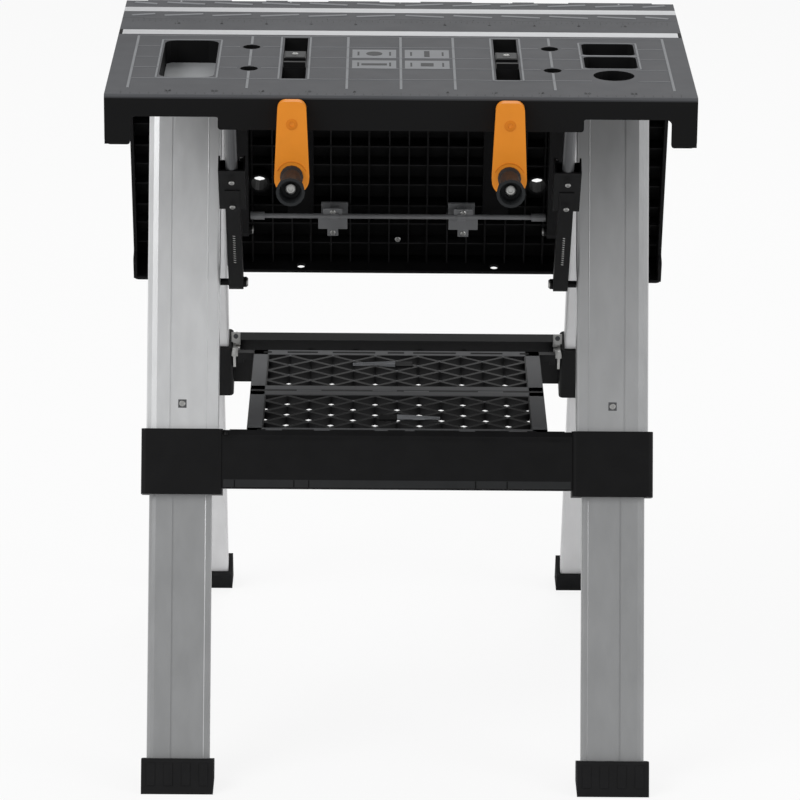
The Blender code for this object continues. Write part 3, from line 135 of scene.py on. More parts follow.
def painted_light_top_material(name, obj, matrix, low, high, face, side, roughness=0.6):
    """Painted light on one node: the lighter `face` colour where it looks along the matrix's third axis above
    `low`, for the top lit from above; elsewhere the darker `side` colour, as painted shade on the sides.
    """
    made = node_material(name, side, roughness, vary=0.1, bump=0.22, bump_scale=1300, shine=0.16)
    tree = made.node_tree
    nodes = tree.nodes
    links = tree.links
    local = obj.matrix_world.inverted() @ matrix
    normal = (local.to_3x3() @ Vector((0, 0, 1))).normalized()
    start = local @ Vector((0, 0, 0))
    place = nodes.new("ShaderNodeTexCoord")
    along = nodes.new("ShaderNodeVectorMath")
    along.operation = "DOT_PRODUCT"
    along.inputs[1].default_value = normal
    links.new(place.outputs["Object"], along.inputs[0])
    height = nodes.new("ShaderNodeMapRange")
    height.inputs["From Min"].default_value = low + normal.dot(start)
    height.inputs["From Max"].default_value = high + normal.dot(start)
    links.new(along.outputs["Value"], height.inputs["Value"])
    facing = nodes.new("ShaderNodeVectorMath")
    facing.operation = "DOT_PRODUCT"
    facing.inputs[1].default_value = normal
    links.new(place.outputs["Normal"], facing.inputs[0])
    turned = nodes.new("ShaderNodeMapRange")
    turned.inputs["From Min"].default_value = 0.05
    turned.inputs["From Max"].default_value = 0.35
    links.new(facing.outputs["Value"], turned.inputs["Value"])
    # Mask of the painted light: up-facing faces above `low`
    painted_light_mask = nodes.new("ShaderNodeMath")
    painted_light_mask.operation = "MULTIPLY"
    links.new(height.outputs["Result"], painted_light_mask.inputs[0])
    links.new(turned.outputs["Result"], painted_light_mask.inputs[1])
    broad = nodes.new("ShaderNodeTexNoise")
    broad.inputs["Scale"].default_value = 9
    broad.inputs["Detail"].default_value = 6
    links.new(place.outputs["Object"], broad.inputs["Vector"])
    painted_light_tint = nodes.new("ShaderNodeValToRGB")
    painted_light_tint.color_ramp.elements[0].position = 0.3
    painted_light_tint.color_ramp.elements[1].position = 0.7
    painted_light_tint.color_ramp.elements[0].color = (*[c * 0.92 for c in face], 1)
    painted_light_tint.color_ramp.elements[1].color = (*[c * 1.08 for c in face], 1)
    links.new(broad.outputs["Fac"], painted_light_tint.inputs["Fac"])
    mix = nodes.new("ShaderNodeMix")
    mix.data_type = "RGBA"
    shader = nodes["Principled BSDF"]
    old = shader.inputs["Base Color"].links[0].from_socket
    links.new(painted_light_mask.outputs["Value"], mix.inputs["Factor"])
    links.new(old, mix.inputs["A"])
    links.new(painted_light_tint.outputs["Color"], mix.inputs["B"])
    links.new(mix.outputs["Result"], shader.inputs["Base Color"])
    return made


def srgb(r, g, b):
    def one(c):
        c /= 255
        return c / 12.92 if c <= 0.04045 else ((c + 0.055) / 1.055) ** 2.4
    return one(r), one(g), one(b)


# One grey plastic: the top colour is painted light from above, the side colour is painted shade
PAINTED_LIGHT_TOP_COLOUR = srgb(80, 81, 84)
PAINTED_SHADE_SIDE_COLOUR = srgb(12, 12, 13)
TOP_LINE = node_material("top_line", srgb(124, 126, 129), 0.5, vary=0.08, bump=0.1, shine=0.2)
TOP_PALE = node_material("top_pale", srgb(158, 160, 162), 0.5, vary=0.05, bump=0.1, shine=0.2)
TICK = node_material("tick_grey", srgb(44, 45, 47), 0.5, vary=0.05, bump=0.1, shine=0.2)
UNDER = node_material("under_grey", srgb(30, 30, 31), 0.6, vary=0.12, bump=0.2, shine=0.12)
UNDER_FACE = node_material("under_face", srgb(15, 15, 16), 0.65, vary=0.12, bump=0.2, shine=0.1)
BLACK = node_material("black_plastic", srgb(17, 17, 18), 0.5, vary=0.15, bump=0.2, shine=0.16)
# A lighter copy of the black plastic: painted highlight on the front crossbar band and the carriage pad
BLACK_PAINTED_HIGHLIGHT = node_material("black_painted_highlight", srgb(40, 41, 42), 0.5, vary=0.1, bump=0.2, shine=0.2)
GRIP_BLACK = node_material("grip_rubber", srgb(34, 36, 38), 0.6, vary=0.15, bump=0.35, bump_scale=700,
                           shine=0.25)
ORANGE = node_material("orange_plastic", srgb(240, 146, 40), 0.45, vary=0.03, bump=0.12, shine=0.25)
# A darker copy of the orange plastic: painted shade on the crank's boss and arc
ORANGE_PAINTED_SHADE = node_material("orange_painted_shade", srgb(222, 128, 28), 0.5, vary=0.03, bump=0.12, shine=0.2)


def leg_material(name, colour, roughness, metallic, turn):
    return node_material(name, colour, roughness, metallic=metallic, vary=0.04, vary_scale=60, bump=0.16,
                         bump_scale=700, stretch=(1, 1, 0.03), turn=turn)


# One aluminium for all legs in lit and shaded copies: painted light on the left front and rear legs, painted
# shade on the right front and lower front legs
LEG_PAINTED_LIGHT_LOOKS = {
    "left": leg_material("leg_aluminium_left_painted_light", srgb(222, 223, 224), 0.34, 0.5, LEG_ANGLE),
    "right": leg_material("leg_aluminium_right_painted_shade", srgb(186, 187, 188), 0.32, 0.6, LEG_ANGLE),
}
LEG_LOWER_PAINTED_SHADE = leg_material("leg_aluminium_lower_painted_shade", srgb(168, 169, 170), 0.32, 0.6, LEG_ANGLE)
LEG_REAR_PAINTED_LIGHT = leg_material("leg_aluminium_rear_painted_light", srgb(232, 232, 233), 0.36, 0.15, -LEG_ANGLE)
STRIP = node_material("strip_aluminium", srgb(190, 191, 193), 0.4, metallic=0.35, vary=0.06, vary_scale=60,
                      bump=0.2, bump_scale=900, stretch=(0.03, 1, 1))
STEEL = node_material("zinc_steel", srgb(190, 190, 188), 0.3, metallic=0.9, vary=0.08, bump=0.1)
ROD_STEEL = node_material("rod_steel", srgb(122, 123, 125), 0.45, metallic=0.2, vary=0.08, bump=0.12)
DARK_STEEL = node_material("dark_steel", srgb(96, 98, 101), 0.4, metallic=0.5, vary=0.08, bump=0.1)
RUBBER = node_material("foot_rubber", srgb(28, 28, 29), 0.75, vary=0.15, bump=0.5, bump_scale=500, shine=0.15)
SHELF = node_material("shelf_plastic", srgb(24, 24, 25), 0.5, vary=0.12, bump=0.2, shine=0.2)
SHELF_FRAME = node_material("shelf_frame", srgb(84, 85, 87), 0.5, vary=0.08, bump=0.2, shine=0.2)
# Lighter grey on the black shelf plastic: painted highlights on the lattice pips and the front knuckles
SHELF_PAINTED_HIGHLIGHT = node_material("shelf_painted_highlight", srgb(96, 97, 99), 0.5, vary=0.08, bump=0.1, shine=0.2)
TUBE_GREY = node_material("strut_tube", srgb(92, 93, 95), 0.35, metallic=0.5, vary=0.05, bump=0.1)
# Near-black: painted shade in the crossbar's holes and notches and in the shelf's slots, clip sockets and
# middle gap; also the dark ends of the aluminium strips
BLACK_AND_PAINTED_SHADE = node_material("black_and_painted_shade", srgb(12, 12, 13), 0.6, vary=0.1, bump=0.1, shine=0.1)

LOOKS = {
    "beam_strip": STRIP, "front_panel_strip": STRIP, "rear_panel_strip": STRIP, "shelf_front": SHELF,
    "shelf_rear": SHELF, "shelf_seam_pin": STEEL, "front_rod": ROD_STEEL, "rear_rod": ROD_STEEL,
    "hinge_pin_front": STEEL, "hinge_pin_rear": STEEL,
}
STARTS = (
    ("upper_leg_rear", LEG_REAR_PAINTED_LIGHT), ("lower_leg_rear", LEG_REAR_PAINTED_LIGHT), ("foot", RUBBER), ("crossbar", BLACK),
    ("crank", ORANGE), ("grip", GRIP_BLACK), ("carriage", BLACK), ("spindle", STEEL),
    ("strut_tube", TUBE_GREY),
    ("strut_channel", BLACK), ("strut_shoe", BLACK), ("leg_bracket", DARK_STEEL), ("shelf_bracket", STEEL),
    ("front_saddle", ROD_STEEL), ("rear_saddle", ROD_STEEL),
)
# Nodes whose up-facing top gets the painted light, with its frame and the band where it fades in
PAINTED_LIGHT_TOPS = {
    "beam": (WORLD, 0.8225, 0.8245),
    "front_panel": (FRONT, 0.0125, 0.0145),
    "rear_panel": (REAR, 0.0125, 0.0145),
}


def look_of(name, obj):
    if name in PAINTED_LIGHT_TOPS:
        return painted_light_top_material(f"{name}_plastic", obj, *PAINTED_LIGHT_TOPS[name], PAINTED_LIGHT_TOP_COLOUR, PAINTED_SHADE_SIDE_COLOUR)
    if name in LOOKS:
        return LOOKS[name]
    if name.startswith("lower_leg_front"):
        return LEG_LOWER_PAINTED_SHADE
    if name.startswith("upper_leg_front"):
        return LEG_PAINTED_LIGHT_LOOKS[name.rsplit("_", 1)[1]]
    return next(made for start, made in STARTS if name.startswith(start))


def dress_nodes():
    for name, obj in NODES.items():
        look = look_of(name, obj)
        for slot in obj.material_slots:
            slot.material = look
        if not obj.material_slots:
            obj.data.materials.append(look)


# Shapes


def finished(shape, name, look, body, matrix, bevel=0.0, segments=2):
    bmesh.ops.transform(shape, matrix=matrix, verts=shape.verts)
    bmesh.ops.recalc_face_normals(shape, faces=shape.faces)
    mesh = bpy.data.meshes.new(name)
    shape.to_mesh(mesh)
    shape.free()
    mesh.materials.append(look)
    mesh.shade_smooth()
    mesh.set_sharp_from_angle(angle=math.radians(35))
    made = bpy.data.objects.new(name, mesh)
    bpy.context.scene.collection.objects.link(made)
    if bevel:
        modifier = made.modifiers.new("Bevel", "BEVEL")
        modifier.width = bevel
        modifier.segments = segments
        modifier.limit_method = "ANGLE"
    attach(made, body)
    return made


def add_box(shape, x, y, z, turn=0.0):
    centre = Vector((sum(x) / 2, sum(y) / 2, sum(z) / 2))
    size = Matrix.Diagonal((x[1] - x[0], y[1] - y[0], z[1] - z[0], 1))
    spin = Matrix.Rotation(turn, 4, "Z")
    bmesh.ops.create_cube(shape, size=1, matrix=Matrix.Translation(centre) @ spin @ size)


def add_rod(shape, first, last, radius, sides=20, end_radius=None):
    first = Vector(first)
    way = Vector(last) - first
    matrix = Matrix.Translation(first + way / 2) @ way.to_track_quat("Z", "Y").to_matrix().to_4x4()
    bmesh.ops.create_cone(shape, cap_ends=True, segments=sides, radius1=radius,
                          radius2=radius if end_radius is None else end_radius, depth=way.length,
                          matrix=matrix)


def boxes(name, ranges, look, body, matrix, bevel=0.0):
    shape = bmesh.new()
    for entry in ranges:
        add_box(shape, *entry)
    return finished(shape, name, look, body, matrix, bevel)


def rods(name, entries, look, body, matrix, bevel=0.0):
    shape = bmesh.new()
    for entry in entries:
        add_rod(shape, *entry)
    return finished(shape, name, look, body, matrix, bevel)


def screws(name, places, radius, look, body, matrix, height=0.0015):
    """Pan-head screws with a round socket: places are (centre, normal) in the matrix's frame."""
    shape = bmesh.new()
    for centre, normal in places:
        centre = Vector(centre)
        normal = Vector(normal).normalized()
        turn = normal.to_track_quat("Z", "Y").to_matrix().to_4x4()
        rings = ((radius, 0), (radius, height * 0.55), (radius * 0.8, height), (radius * 0.42, height),
                 (radius * 0.38, height * 0.3))
        before = None
        for ring_radius, z in rings:
            ring = []
            for step in range(18):
                angle = step * math.tau / 18
                point = Vector((ring_radius * math.cos(angle), ring_radius * math.sin(angle), z))
                ring.append(shape.verts.new(centre + turn @ point))
            if before is None:
                shape.faces.new(ring)
            else:
                for step in range(18):
                    shape.faces.new((before[step], before[step - 1], ring[step - 1], ring[step]))
            before = ring
        shape.faces.new(before)
    return finished(shape, name, look, body, matrix)


def outside(low, high, blocks):
    """What is left of a range after the blocks are taken out."""
    pieces = [(low, high)]
    for start, end in blocks:
        halves = [part for a, b in pieces for part in ((a, min(b, start)), (max(a, end), b))]
        pieces = [part for part in halves if part[1] - part[0] > 1e-4]
    return pieces


def clear_of(line, along, across, rectangles):
    """Parts of a line (constant at `line`, running over `along`) that miss the rectangles."""
    blocks = []
    for x0, x1, u0, u1 in rectangles:
        fixed, moving = ((x0, x1), (u0, u1)) if across == "x" else ((u0, u1), (x0, x1))
        if fixed[0] < line < fixed[1]:
            blocks.append(moving)
    return outside(*along, blocks)


HOLLOWS = [
    (-0.2655, -0.2005, 0.1025, 0.2735), (0.1995, 0.2625, 0.1055, 0.1625), (0.1995, 0.2625, 0.1655, 0.2225),
    (0.207, 0.257, 0.227, 0.277), (-0.1325, -0.101, 0.087, 0.278), (0.101, 0.1325, 0.087, 0.278),
    (-0.179, -0.153, 0.120, 0.146), (0.153, 0.179, 0.120, 0.146), (-0.179, -0.153, 0.218, 0.244),
    (0.153, 0.179, 0.218, 0.244),
]


def fine_ribs(label, body, matrix):
    """Ribs between the main ones, on the underside of a half-top."""
    column = (2 * HALF_WIDTH - 0.008 + 0.0022) / 9
    row = (PANEL_DEPTH - 0.004 - 0.008) / 4
    ranges = []
    half = 0.0008
    for i in range(9):
        for part in (1 / 3, 2 / 3):
            x = -HALF_WIDTH + 0.004 + (i + part) * column
            for u0, u1 in clear_of(x, (0.011, 0.3445), "x", HOLLOWS):
                ranges.append(((x - half, x + half), (u0, u1), (RIB_H + 0.001, SKIN_H)))
    for j in range(4):
        for part in (1 / 3, 2 / 3):
            u = 0.008 + (j + part) * row
            for x0, x1 in clear_of(u, (-0.3135, 0.3135), "u", HOLLOWS):
                ranges.append(((x0, x1), (u - half, u + half), (RIB_H + 0.0015, SKIN_H)))
    boxes(f"fine_ribs_{label}", ranges, UNDER, body, matrix)


def top_lines(label, body, matrix):
    """Moulded lines on the work face of a half-top."""
    high = TOP_H + 0.00035
    low = TOP_H - 0.0005
    thin = 0.0006
    thick = 0.0014
    ranges = []
    for y in (0.072, 0.121, 0.168, 0.216, 0.265):
        u = PANEL_DEPTH - y
        for x0, x1 in clear_of(u, (-0.294, 0.294), "u", HOLLOWS):
            ranges.append(((x0, x1), (u - thin, u + thin), (low, high)))
    for x in (-0.294, -0.166, -0.0585, 0.0, 0.0585, 0.166, 0.294):
        for u0, u1 in clear_of(x, (PANEL_DEPTH - 0.265, PANEL_DEPTH - 0.030), "x", HOLLOWS):
            ranges.append(((x - thick, x + thick), (u0, u1), (low, high)))
    boxes(f"top_lines_{label}", ranges, TOP_LINE, body, matrix)
    rims = []
    for x0, x1, u0, u1 in HOLLOWS[:3] + HOLLOWS[4:6]:
        x0, x1, u0, u1 = x0 - 0.0005, x1 + 0.0005, u0 - 0.0005, u1 + 0.0005
        rims.append(((x0, x1), (u0 - 0.001, u0 + 0.001), (low, high)))
        rims.append(((x0, x1), (u1 - 0.001, u1 + 0.001), (low, high)))
        rims.append(((x0 - 0.001, x0 + 0.001), (u0, u1), (low, high)))
        rims.append(((x1 - 0.001, x1 + 0.001), (u0, u1), (low, high)))
    boxes(f"rims_{label}", rims, TOP_LINE, body, matrix)


def rulers(body, matrix):
    """Centimetre marks by the outer edge and inch marks by the strip, from the middle outwards."""
    high = TOP_H + 0.0002
    low = TOP_H - 0.0004
    ranges = []
    for index in range(-30, 31):
        x = index * 0.01
        length = 0.010 if index % 5 == 0 else 0.006
        ranges.append(((x - 0.0004, x + 0.0004), (PANEL_DEPTH - 0.006 - length, PANEL_DEPTH - 0.006),
                       (low, high)))
    for index in range(-48, 49):
        x = index * 0.00635
        length = 0.010 if index % 4 == 0 else 0.005
        ranges.append(((x - 0.00035, x + 0.00035), (0.006, 0.006 + length), (low, high)))
    boxes("ruler_marks", ranges, TICK, body, matrix)
    for index in range(-5, 6):
        if index:
            number(f"cm_{index + 5}", str(abs(index) * 5), index * 0.05, PANEL_DEPTH - 0.0185, body, matrix)
            number(f"inch_{index + 5}", str(abs(index) * 2), index * 0.0508, 0.0235, body, matrix)


def number(name, text, x, u, body, matrix):
    curve = bpy.data.curves.new(f"number_{name}", "FONT")
    curve.body = text
    curve.size = 0.008
    curve.align_x = "CENTER"
    curve.align_y = "CENTER"
    curve.extrude = 0.0002
    made = bpy.data.objects.new(f"number_{name}", curve)
    bpy.context.scene.collection.objects.link(made)
    curve.materials.append(TICK)
    made.location = matrix @ Vector((x, u, TOP_H + 0.0001))
    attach(made, body)


def icons(body, matrix):
    """Four pale plates with plain marks for what is held: flat stock, a pipe, a post and a board."""
    high = TOP_H + 0.0003
    low = TOP_H - 0.0004
    plates = []
    marks = []
    discs = []
    for x0, x1 in ((-0.0535, -0.005), (0.0045, 0.0535)):
        for y0, y1 in ((0.121, 0.157), (0.169, 0.206)):
            u0, u1 = PANEL_DEPTH - y1, PANEL_DEPTH - y0
            plates.append(((x0, x1), (u0, u1), (low, high)))
            x = (x0 + x1) / 2
            u = (u0 + u1) / 2
            if x < 0 < u - 0.19:
                marks.append(((x - 0.014, x + 0.014), (u - 0.004, u + 0.004), (high - 0.0001, high + 0.0002)))
            elif x < 0:
                discs.append(((x, u, high - 0.0001), (x, u, high + 0.0002), 0.009, 24))
            elif u > 0.19:
                marks.append(((x - 0.007, x + 0.007), (u - 0.007, u + 0.007), (high - 0.0001, high + 0.0002)))
            else:
                marks.append(((x - 0.003, x + 0.003), (u - 0.013, u + 0.013), (high - 0.0001, high + 0.0002)))
            for way in (-1, 1):
                marks.append((sorted((x + way * 0.0165, x + way * 0.0185)), (u - 0.008, u + 0.008),
                              (high - 0.0001, high + 0.0002)))
    boxes("icon_plates", plates, TOP_LINE, body, matrix)
    boxes("icon_marks", marks, TICK, body, matrix)
    rods("icon_discs", discs, TICK, body, matrix)


def tray_floors(label, body, matrix):
    """Pale floor mats of the tray and recesses."""
    ranges = [((-0.2622, -0.2038), (0.1058, 0.2702), (-0.0079, -0.0074)),
              ((0.2028, 0.2592), (0.1088, 0.1592), (0.0001, 0.0005)),
              ((0.2028, 0.2592), (0.1688, 0.2192), (0.0001, 0.0005))]
    boxes(f"tray_floors_{label}", ranges, TOP_PALE, body, matrix, bevel=0.0002)


def herringbone():
    shape = bmesh.new()
    for side in (-1, 1):
        for way in (-1, 1):
            for index in range(6):
                start = 0.0055 + 0.055 * index
                end = min(start + 0.045, 0.308)
                middle = way * (start + end) / 2
                y = side * 0.0285
                rise = way * side * math.atan2(0.008, end - start)
                add_box(shape, (middle - (end - start) / 2, middle + (end - start) / 2),
                        (y - 0.0028, y + 0.0028),
                        (TOP_Z - 0.001, TOP_Z + 0.0009), rise)
    finished(shape, "beam_grip_bars", TOP_LINE, "beam", WORLD, 0.0006)
    ticks = [((x - 0.001, x + 0.001), (0.0375, 0.0425), (TOP_Z - 0.0005, TOP_Z + 0.0002))
             for x in (-0.254, -0.127, 0.0, 0.127, 0.254)]
    boxes("beam_ticks", ticks, TOP_PALE, "beam", WORLD)


def strip_ends(label, body, matrix):
    ranges = []
    for way in (-1, 1):
        x = sorted((way * 0.3137, way * 0.3172))
        ranges.append((x, (0.0545, 0.0755), (TOP_H - 0.0015, TOP_H + 0.0003)))
    boxes(f"strip_ends_{label}", ranges, BLACK_AND_PAINTED_SHADE, body, matrix, bevel=0.0004)


def leg_details(side, name, matrix, body):
    for way, label in ((-1, "left"), (1, "right")):
        leg_look = LEG_PAINTED_LIGHT_LOOKS[label] if side < 0 else LEG_REAR_PAINTED_LIGHT
        x = way * 0.2465
        boxes(f"leg_screw_seat_{name}_{label}",
              [((x - 0.0048, x + 0.0048), (0.0136, 0.0143), (0.371, 0.3806))],
              TUBE_GREY, body, matrix, bevel=0.0003)
        screws(f"leg_screw_{name}_{label}", [((x, 0.0142, 0.3758), (0, 1, 0))], 0.0035, STEEL, body, matrix)
        rib_x = sorted((way * 0.2185, way * 0.2195))
        boxes(f"leg_rib_{name}_{label}",
              [(rib_x, (0.0135, 0.0144), (0.010, 0.4040)), (rib_x, (0.0105, 0.0114), (0.4800, 0.7805))],
              leg_look, body, matrix, bevel=0.0003)
        foot = []
        for index in range(4):
            x0 = way * (0.213 + index * 0.020)
            foot.append((sorted((x0, x0 + way * 0.010)), (0.0250, 0.0262), (0.786, 0.812)))
        boxes(f"foot_pads_{name}_{label}", foot, RUBBER, body, matrix, bevel=0.0005)
    # The front band gets the lighter black as painted highlight; the rear band stays black
    boxes(f"crossbar_band_{name}",
          [((-0.1990, 0.1990), (0.0166, 0.0172), (0.4625, 0.4712)),
           ((-0.1990, 0.1990), (0.0166, 0.0170), (0.4125, 0.4175))],
          BLACK_PAINTED_HIGHLIGHT if side < 0 else BLACK, body, matrix, bevel=0.0002)
    # Dark marks in the band's notches: painted shade
    notches = [((x - 0.0006, x + 0.0006), (0.0171, 0.0174), (0.4630, 0.4710))
               for x in (-0.186, -0.118, -0.101, 0.090, 0.126)]
    boxes(f"crossbar_notches_{name}", notches, BLACK_AND_PAINTED_SHADE, body, matrix)
    knob = ((-0.1962, 0.0160, 0.4120), (-0.1962, 0.0160, 0.4085), 0.0032, 14, 0.0024)
    rods(f"crossbar_knob_{name}", [knob], BLACK, body, matrix, 0.0003)


def crossbar_holes(matrix, body):
    """Dark discs as painted shade in the blind holes on the inner face of the rear crossbar."""
    entries = []
    for x in (-0.105, -0.050, 0.028, 0.083):
        entries.append(((x, -0.0004, 0.425), (x, -0.0011, 0.425), 0.006, 20))
    rods("crossbar_holes", entries, BLACK_AND_PAINTED_SHADE, body, matrix)


def shelf_top(side, label, body):
    """Grey frame of one half of the shelf, its slots as dark strips of painted shade, and the small pips on
    the lattice in a lighter grey as painted highlights.
    """
    entries = []
    for i in range(-5, 6):
        for j in range(7):
            x = i * SHELF_PITCH_X
            y = 0.019 + j * SHELF_PITCH_Y
            if (i + j) % 2 and abs(x) < 0.150 and 0.020 < y < 0.136:
                entries.append(((x, side * y, 0.3675), (x, side * y, 0.3686), 0.0021, 10, 0.0015))
    rods(f"shelf_pips_{label}", entries, SHELF_PAINTED_HIGHLIGHT, body, WORLD)
    low, high = 0.3677, 0.3683
    frame_parts = []
    for way in (-1, 1):
        frame_parts.append((sorted((way * 0.1565, way * 0.1735)), sorted((side * 0.0032, side * 0.1555)),
                            (low, high)))
    frame_parts.append(((-0.1735, 0.1735), sorted((side * 0.1385, side * 0.1555)), (low, high)))
    frame_parts.append(((-0.1735, 0.1735), sorted((side * 0.0032, side * 0.0165)), (low, high)))
    boxes(f"shelf_frame_{label}", frame_parts, SHELF_FRAME, body, WORLD, bevel=0.0002)
    # Dark strips in the frame's slots: painted shade
    slots = []
    for x0, x1 in ((-0.1620, -0.1520), (-0.1330, -0.0960), (-0.0780, -0.0260), (-0.0110, 0.0090),
                   (0.0200, 0.0720),
                   (0.0900, 0.1290), (0.1500, 0.1610)):
        slots.append(((x0, x1), sorted((side * 0.1440, side * 0.1500)), (high - 0.0002, high + 0.0001)))
    boxes(f"shelf_slots_{label}", slots, BLACK_AND_PAINTED_SHADE, body, WORLD, bevel=0.00008)


def shelf_seam():
    """Painted shade: a dark strip in the gap between the halves, crossed by the knuckles of each."""
    boxes("shelf_gap_shade", [((-0.1735, 0.1735), (-0.0024, 0.0024), (0.3620, 0.3640))], BLACK_AND_PAINTED_SHADE,
          "shelf_rear_half",
          WORLD)
    rear = [((x0, x1), (-0.0020, 0.0034), (0.3660, 0.3681))
            for x0, x1 in ((-0.1190, -0.0895), (-0.0290, 0.0000))]
    boxes("shelf_knuckles_rear", rear, SHELF_FRAME, "shelf_rear_half", WORLD, bevel=0.0003)
    # The front half's knuckles in the lighter grey: painted highlight
    front = [((x0, x1), (-0.0034, 0.0020), (0.3660, 0.3681))
             for x0, x1 in ((0.0080, 0.0380), (0.0960, 0.1260))]
    boxes("shelf_knuckles_front", front, SHELF_PAINTED_HIGHLIGHT, "shelf_front_half", WORLD, bevel=0.0003)


def shelf_clip(name, x0, x1, y, way, body):
    """Two tapered prongs in front of a socket, moulded in the lattice; the prongs are light grey as painted
    highlight, the socket a dark block as painted shade.
    """
    shape = bmesh.new()
    tip, base = (x0, x1) if way > 0 else (x1, x0)
    for offset in (-0.0038, 0.0038):
        add_rod(shape, (base, y + offset, 0.3690), (tip, y + offset * 0.8, 0.3682), 0.0022, 14, 0.0007)
    finished(shape, name, TOP_LINE, body, WORLD)
    socket = (x1, x1 + 0.021) if way > 0 else (x0 - 0.021, x0)
    boxes(f"{name}_socket", [(socket, (y - 0.0095, y + 0.0095), (0.3670, 0.3694))], BLACK_AND_PAINTED_SHADE, body, WORLD,
          bevel=0.0008)


def hinge_brackets():
    """Bright angle brackets that carry the shelf's pivots on the rear crossbar."""
    for way, label in ((-1, "left"), (1, "right")):
        x = way * 0.1965
        shape = bmesh.new()
        add_box(shape, (x - 0.0055, x + 0.0055), (0.1665, 0.1683), (0.3705, 0.3870))
        add_box(shape, (x - 0.0050, x + 0.0050), (0.1585, 0.1683), (0.3585, 0.3700))
        finished(shape, f"shelf_hinge_{label}", STEEL, "rear_legs", WORLD, 0.0006)
        inner = sorted((x - way * 0.0050, x - way * 0.0105))
        rods(f"shelf_hinge_pin_{label}",
             [((inner[0], 0.1635, 0.3625), (inner[1], 0.1635, 0.3625), 0.0022, 16)], STEEL,
             "rear_legs", WORLD, 0.0002)
        screws(f"shelf_hinge_screw_{label}", [((x, 0.1666, 0.3820), (0, -1, 0.1))], 0.0030, DARK_STEEL,
               "rear_legs",
               WORLD)


def saddle_plates(label, body, matrix):
    """Cross-shaped plates that hold the rod against the ribs, with two screws each."""
    for way, side_label in ((-1, "left"), (1, "right")):
        x = way * 0.0780
        h = (-0.0226, -0.0206)
        boxes(f"saddle_plate_{label}_{side_label}",
              [((x - 0.0175, x + 0.0175), (0.2645, 0.2835), h),
               ((x - 0.0115, x + 0.0115), (0.2540, 0.2650), h),
               ((x - 0.0065, x + 0.0065), (0.2830, 0.2935), h)], ROD_STEEL, body, matrix, bevel=0.0005)
        screws(f"saddle_screws_{label}_{side_label}",
               [((x, 0.2590, -0.0224), (0, 0, -1)), ((x, 0.2885, -0.0224), (0, 0, -1))], 0.0034, STEEL,
               body, matrix)
    screws(f"under_screw_{label}", [((0.0, 0.3100, -0.0042), (0, 0, -1))], 0.0036, STEEL, body, matrix)


def slot_floors(body, matrix):
    """Floors that close the rear half-top's slots from below."""
    ranges = []
    for x in (-CLAMP_X, CLAMP_X):
        ranges.append(((x - 0.0156, x + 0.0156), (0.0875, 0.2770), (RIB_H - 0.0019, RIB_H - 0.0003)))
    boxes("slot_floors", ranges, UNDER_FACE, body, matrix, bevel=0.0004)


def strut_details(side, name, origin, way_up):
    """Spring in the channel's slot, screws on the housing, and the bolt at the lower end."""
    y, z = origin
    up = Vector((0, way_up[0], way_up[1])).normalized()
    out = Vector((0, -up.z, up.y)) if side < 0 else Vector((0, up.z, -up.y))
    out = -out if side > 0 else out
    for way, label in ((-1, "left"), (1, "right")):
        body = f"strut_channel_{name}_{label}"
        matrix = axes((1, 0, 0), tuple(out), tuple(up), (way * STRUT_X, y + SHIFT, z))
        points = []
        turns = 13
        for step in range(turns * 10 + 1):
            angle = step * math.tau / 10
            points.append((0.0021 * math.cos(angle), 0.0068 + 0.0018 * math.sin(angle),
                           0.050 + 0.056 * step / (turns * 10)))
        curve = bpy.data.curves.new("spring", "CURVE")
        curve.dimensions = "3D"
        curve.bevel_depth = 0.0005
        curve.bevel_resolution = 1
        spline = curve.splines.new("POLY")
        spline.points.add(len(points) - 1)
        for point, place in zip(spline.points, points):
            point.co = (*place, 1)
        curve.materials.append(STEEL)
        spring = bpy.data.objects.new(f"spring_{name}_{label}", curve)
        spring.matrix_world = matrix
        bpy.context.scene.collection.objects.link(spring)
        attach(spring, body)
        places = [((0, 0.0133, up_by), (0, 1, 0)) for up_by in (0.166, 0.212)]
        screws(f"strut_screws_{name}_{label}", places, 0.0032, STEEL, body, matrix)
        inner = -way
        screws(f"strut_bolt_{name}_{label}", [((inner * 0.0118, 0, 0), (inner, 0, 0))], 0.0052, STEEL, body,
               matrix, height=0.002)


def crank_details():
    for way, label in ((-1, "left"), (1, "right")):
        x = way * CLAMP_X
        face = PANEL_DEPTH + 0.0025 + 0.0115
        body = f"crank_{label}"
        # Boss and arc in the darker orange: painted shade
        screws(f"crank_boss_{label}", [((x, face - 0.0004, -0.010), (0, 1, 0))], 0.0062, ORANGE_PAINTED_SHADE, body,
               FRONT, height=0.0012)
        arc = []
        shape = bmesh.new()
        centre = (x, -0.0675)
        for step in range(15):
            angle = math.pi * (0.12 + 0.76 * step / 14)
            arc.append((centre[0] + 0.0165 * math.cos(angle), centre[1] + 0.0165 * math.sin(angle)))
        for first, last in zip(arc, arc[1:]):
            add_rod(shape, (first[0], face - 0.0001, first[1]), (last[0], face - 0.0001, last[1]), 0.0007, 8)
        finished(shape, f"crank_arc_{label}", ORANGE_PAINTED_SHADE, body, FRONT)
        stud = face + 0.062 * 0.8
        screws(f"grip_screw_{label}", [((x, stud - 0.0003, -0.0675), (0, 1, 0))], 0.0058, STEEL, body, FRONT)
        # Carriage pad in the lighter black: painted highlight
        boxes(f"carriage_pad_{label}",
              [((x - 0.0112, x + 0.0112), (0.1655, 0.1925), (0.0205, 0.0216))], BLACK_PAINTED_HIGHLIGHT,
              f"carriage_{label}", FRONT, bevel=0.0006)
        screws(f"carriage_screw_{label}", [((x, 0.1800, 0.0214), (0, 0, 1))], 0.0036, STEEL,
               f"carriage_{label}", FRONT)


# Stage


